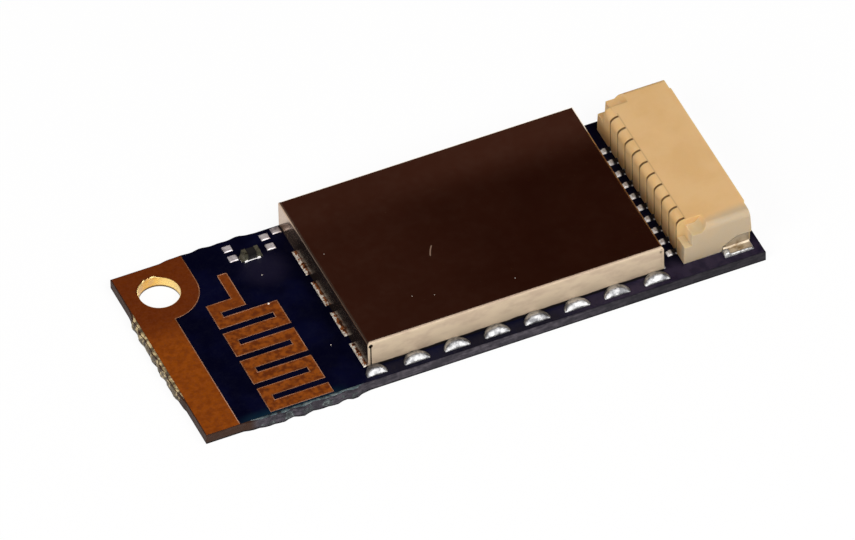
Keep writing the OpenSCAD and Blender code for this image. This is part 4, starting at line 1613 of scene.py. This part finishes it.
@dataclass
class Header:
    """Side-entry header: moulded housing, ten bent contacts and two hold-down tabs."""

    contacts: int = 10
    flat_within: float = math.radians(0.5)
    edge_round: float = 0.05 * MM
    edge_from: float = math.radians(40)
    edge_segments: int = 2
    shortest_edge: float = 0.2 * MM
    crease: float = math.radians(20)
    slot_room: float = 0.2 * MM
    slot_depth: float = 0.53 * MM
    # Sizes that place the painted shade on the near end's step tops and the painted light at the near end.
    end_wall: float = 0.96 * MM
    step_d: float = 1.3 * MM
    step_drop: float = 0.3 * MM
    pale_reach: float = 0.9 * MM
    # Painted shadow on the contacts' tails and their solder, just outside the housing's rear.
    shade_x: Span = (-0.36 * MM, -0.24 * MM)
    solder_cell: float = 0.03 * MM
    tail_crown: float = 0.1 * MM
    tail_square: float = 3
    tail_lump: float = 0.16 * MM
    tab_crown: float = 0.13 * MM
    tab_square: float = 5
    tab_waves: float = 0.015 * MM
    past_tab: float = 0.8
    blob_crown: float = 0.26 * MM
    blob_r: float = 0.26 * MM
    blob_in: float = 0.1 * MM
    blob_square: float = 3

    def __post_init__(self) -> None:
        """Take the places of the housing and its slots from the frame."""
        self.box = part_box("connector_housing")
        self.shade = count_from(self.box[0].x, self.shade_x)
        self.contact_nodes = [f"contact_{number:02d}" for number in range(1, self.contacts + 1)]
        boxes = [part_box(node) for node in self.contact_nodes]
        self.slots_y = [(low.y + high.y) / 2 for low, high in boxes]

    def build(self) -> None:
        """Dress the contacts and tabs, round the housing's edges and lay the solder."""
        # The contacts wear painted shadow by the housing's rear.
        dress(replace(Palette.tin, label="contact_tails", shade_x=self.shade), self.contact_nodes)
        dress(Palette.tabs, ["hold_down_near", "hold_down_far"])
        dress(Palette.pads, ["contact_pads", "hold_down_pads"])
        self.housing()
        self.tails()
        self.tabs()

    def housing(self) -> None:
        """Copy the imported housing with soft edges."""
        shape = merged_copy("connector_housing")
        bmesh.ops.dissolve_limit(shape, angle_limit=self.flat_within, verts=shape.verts, edges=shape.edges)
        sharp = [
            edge for edge in shape.edges
            if edge.is_manifold and edge.is_convex and edge.calc_face_angle() > self.edge_from
            and edge.calc_length() > self.shortest_edge
            and not all(self.near_slot(vert.co) for vert in edge.verts)
        ]
        bmesh.ops.bevel(
            shape, geom=sharp, offset=self.edge_round, offset_type="OFFSET", segments=self.edge_segments,
            profile=0.5, affect="EDGES", clamp_overlap=True, material=-1,
        )
        rear, near, top = self.box[0].x, self.box[0].y, self.box[1].z
        # Painted light at the near end, painted shade on its step tops and in the slots.
        ivory = IvoryFinish(
            "ivory_nylon", pale_y=(near, near + self.pale_reach),
            slots_x=count_from(rear + self.slot_depth, (0, self.edge_round)),
            slots_y=(self.slots_y[0], self.slots_y[-1]),
            step_x=count_from(rear + self.step_d, (0, self.slot_room)), step_y=near + self.end_wall,
            step_z=(top - self.step_drop, top - self.edge_round),
        )
        housing = make_piece(
            shape, "header_housing", ivory, ["connector_housing"], self.crease
        )
        even = housing.modifiers.new("even_shading", "WEIGHTED_NORMAL")
        even.keep_sharp = True

    def near_slot(self, point: Vector) -> bool:
        """Tell whether a place on the housing lies in a slot of the comb's rear, or beside one."""
        at_rear = point.x < self.box[0].x + self.slot_depth
        return at_rear and any(abs(point.y - y) < self.slot_room for y in self.slots_y)

    def tails(self) -> None:
        """Lay solder round the contacts' tails."""
        shape = bmesh.new()
        for low, high in islands("contact_pads"):
            bed = level_bed(
                Vector((low.x, low.y, high.z)), self.box[0].x - low.x, high.y - low.y,
                pillow(self.tail_crown, self.tail_square), lump=self.tail_lump, cell=self.solder_cell,
            )
            bed.add_to(shape)
        # Near-white tail solder, a painted reflection, with painted shadow by the housing's rear.
        finish = replace(Palette.tails, label="tail_solder", shade_x=self.shade)
        make_piece(shape, "tail_solder", finish, ["contact_solder"])

    def tabs(self) -> None:
        """Lay solder round the hold-down tabs' feet, with a drop over the rear end of each."""
        shape = bmesh.new()
        for pad, tab in zip(islands("hold_down_pads"), ("hold_down_near", "hold_down_far")):
            low, high = pad
            near = low.y < self.box[0].y
            start = low.y if near else self.box[1].y
            end = self.box[0].y if near else high.y
            bed = level_bed(
                Vector((low.x, start, high.z)), high.x - low.x, end - start,
                self.foot_crown(pad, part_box(tab)), waviness=self.tab_waves, cell=self.solder_cell,
            )
            bed.add_to(shape)
        make_piece(shape, "tab_solder", Palette.solder, ["hold_down_solder"])

    def foot_crown(self, pad: Box, tab: Box) -> Crown:
        """Make the crown of the solder on one tab's pad.

        Args:
            pad: Box of the pad.
            tab: Box of the tab.

        Returns:
            The crown.
        """
        length = pad[1].x - pad[0].x
        start, end = tab[0].x - pad[0].x, tab[1].x - pad[0].x
        skirt = pillow(self.tab_crown, self.tab_square)

        def crown(u: float, v: float) -> float:
            """Give the height at a place on the bed.

            Args:
                u: Place along it.
                v: Place across it.

            Returns:
                The height.
            """
            x = (u + 1) / 2 * length
            drop = max(0, 1 - ((x - start - self.blob_in) / self.blob_r) ** 2)
            round_off = math.sqrt(max(0, 1 - abs(2 * v - 1) ** self.blob_square))
            share = 1 if start < x < end else self.past_tab
            return max(share * skirt(u, v), self.blob_crown * math.sqrt(drop) * round_off)

        return crown


@dataclass
class InnerParts:
    """Parts under the can, dressed as such parts are."""

    def build(self) -> None:
        """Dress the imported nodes."""
        dress(Palette.black, ["radio_chip", "memory_chip", "regulator"])
        dress(Palette.gold, ["radio_chip_lands", "crystal_lid"])
        dress(Palette.tin, ["memory_chip_leads", "regulator_leads"])
        dress(Palette.ceramic, ["crystal_base", "band_filter", "capacitors"])
        dress(Palette.ends, ["band_filter_ends", "capacitor_ends", "inductor_ends"])
        dress(Palette.white, ["inductors"])


@dataclass
class WhiteSpecks:
    """White specks that lie on the mask and on the can, at places in millimetres."""

    large: float = 0.07 * MM
    small: float = 0.035 * MM
    tiny: float = 0.022 * MM
    ragged: float = 0.35
    flat: float = 0.5
    on_board: tuple[Spot, ...] = ((-9.9, 1.26),)
    faint: tuple[Spot, ...] = ((-9.34, 3.51), (-8.03, -3.23))
    on_can: tuple[Spot, ...] = ((2.78, -4.51), (-3.07, -3.37), (-1.87, -3.81), (-6.22, 1.78))

    def build(self) -> None:
        """Drop the specks."""
        shape = bmesh.new()
        specks = (
            (self.on_board, "mask_top", self.large), (self.faint, "mask_top", self.small),
            (self.on_can, "shield_can", self.tiny),
        )
        for places, node, radius in specks:
            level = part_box(node)[1].z
            for x, y in places:
                self.speck(shape, Vector((x * MM, y * MM, level)), radius)
        make_piece(shape, "white_specks", Palette.white_speck)

    def speck(self, shape: bmesh.types.BMesh, place: Vector, radius: float) -> None:
        """Add one speck.

        Args:
            shape: Shape that takes the speck.
            place: Where it lies.
            radius: Its rough size.
        """
        made = bmesh.ops.create_icosphere(shape, subdivisions=2, radius=radius)["verts"]
        for vert in made:
            vert.co *= 1 + ripple(vert.co + place, ((self.ragged, radius, 1),))
            vert.co.z *= self.flat
            vert.co += place


@dataclass(frozen=True)
class Lamp:
    """Soft square lamp that looks at the module."""

    name: str
    place: Triple
    size: float
    watts: float

    def hang(self) -> None:
        """Put the lamp in its place."""
        light = bpy.data.lights.new(self.name, "AREA")
        light.size = self.size
        light.energy = self.watts
        lamp = bpy.data.objects.new(self.name, light)
        lamp.location = self.place
        lamp.rotation_euler = (-Vector(self.place)).to_track_quat("-Z", "Y").to_euler()
        bpy.context.scene.collection.objects.link(lamp)


@dataclass
class Studio:
    """Floor, light and camera."""

    camera_at: Vector = Vector((-283.92, -668.50, 729.63)) * MM
    aim: Vector = Vector((-0.692, -0.078, 0.68)) * MM
    roll: float = math.radians(-1.4145)
    lens: float = 766.88
    sensor: float = 36
    floor_size: float = 6
    floor_drop: float = 0.02 * MM
    floor_colour: Colour = (0.95, 0.95, 0.95)
    floor_rough: float = 0.9
    floor_glow: float = 0.92
    room: Colour = srgb(52, 23, 15)
    lamps: tuple[Lamp, ...] = (
        Lamp("key", place=(0.14, -0.40, 0.55), size=0.62, watts=5.4),
        Lamp("fill", place=(-0.50, -0.22, 0.34), size=0.4, watts=2.4),
    )

    def build(self) -> None:
        """Set the stage."""
        bpy.context.scene.view_settings.view_transform = "Standard"
        self.floor()
        self.world()
        for lamp in self.lamps:
            lamp.hang()
        self.camera()

    def floor(self) -> None:
        """Lay the pale floor, white to the camera and in reflections, with the module's soft shadow."""
        shape = bmesh.new()
        bmesh.ops.create_grid(shape, x_segments=1, y_segments=1, size=self.floor_size / 2)
        bmesh.ops.translate(shape, verts=shape.verts, vec=UP * (CAD_BOX[0].z - self.floor_drop))
        mesh = bpy.data.meshes.new("floor")
        shape.to_mesh(mesh)
        shape.free()
        mesh.materials.append(self.floor_material())
        floor = bpy.data.objects.new("floor", mesh)
        bpy.context.scene.collection.objects.link(floor)

    def floor_material(self) -> bpy.types.Material:
        """Build the floor's finish.

        Returns:
            A matt white that also glows to camera, glossy and transmission rays.
        """
        sketch = NodeSketch("floor_white")
        sketch.wear(Base_Color=self.floor_colour, Roughness=self.floor_rough, Specular_IOR_Level=0.0)
        path = sketch.add("ShaderNodeLightPath")
        seen = sketch.calc("MAXIMUM", path.outputs["Is Camera Ray"], path.outputs["Is Glossy Ray"])
        seen = sketch.calc("MAXIMUM", seen, path.outputs["Is Transmission Ray"])
        glow = sketch.add("ShaderNodeEmission")
        mixed = sketch.add("ShaderNodeMixShader")
        sketch.feed(mixed.inputs[0], sketch.product(seen, self.floor_glow))
        sketch.feed(mixed.inputs[1], sketch.shader.outputs["BSDF"])
        sketch.feed(mixed.inputs[2], glow.outputs[0])
        sketch.feed(sketch.output.inputs["Surface"], mixed.outputs[0])
        return sketch.material

    def world(self) -> None:
        """Fill the room round the stage with a dim warm brown."""
        world = bpy.data.worlds.new("room")
        world.use_nodes = True
        world.node_tree.nodes["Background"].inputs["Color"].default_value = (*self.room, 1)
        bpy.context.scene.world = world

    def camera(self) -> None:
        """Set the camera at the photograph's angle."""
        data = bpy.data.cameras.new("camera")
        data.lens = self.lens
        data.sensor_width = self.sensor
        camera = bpy.data.objects.new("camera", data)
        gaze = (self.aim - self.camera_at).normalized()
        level = gaze.cross(UP).normalized()
        right = Matrix.Rotation(-self.roll, 3, gaze) @ level
        axes = Matrix((right, right.cross(gaze), -gaze)).transposed()
        camera.matrix_world = Matrix.Translation(self.camera_at) @ axes.to_4x4()
        bpy.context.scene.collection.objects.link(camera)
        bpy.context.scene.camera = camera


def main() -> None:
    """Build the stage and the module's sub-assemblies in order."""
    logging.basicConfig(level=logging.INFO, format="%(name)s: %(message)s")
    for part in (Studio(), Board(), MatchingParts(), ShieldCan(), Header(), InnerParts(), WhiteSpecks()):
        LOG.info("building %s", type(part).__name__)
        part.build()


if __name__ == "__main__":
    main()
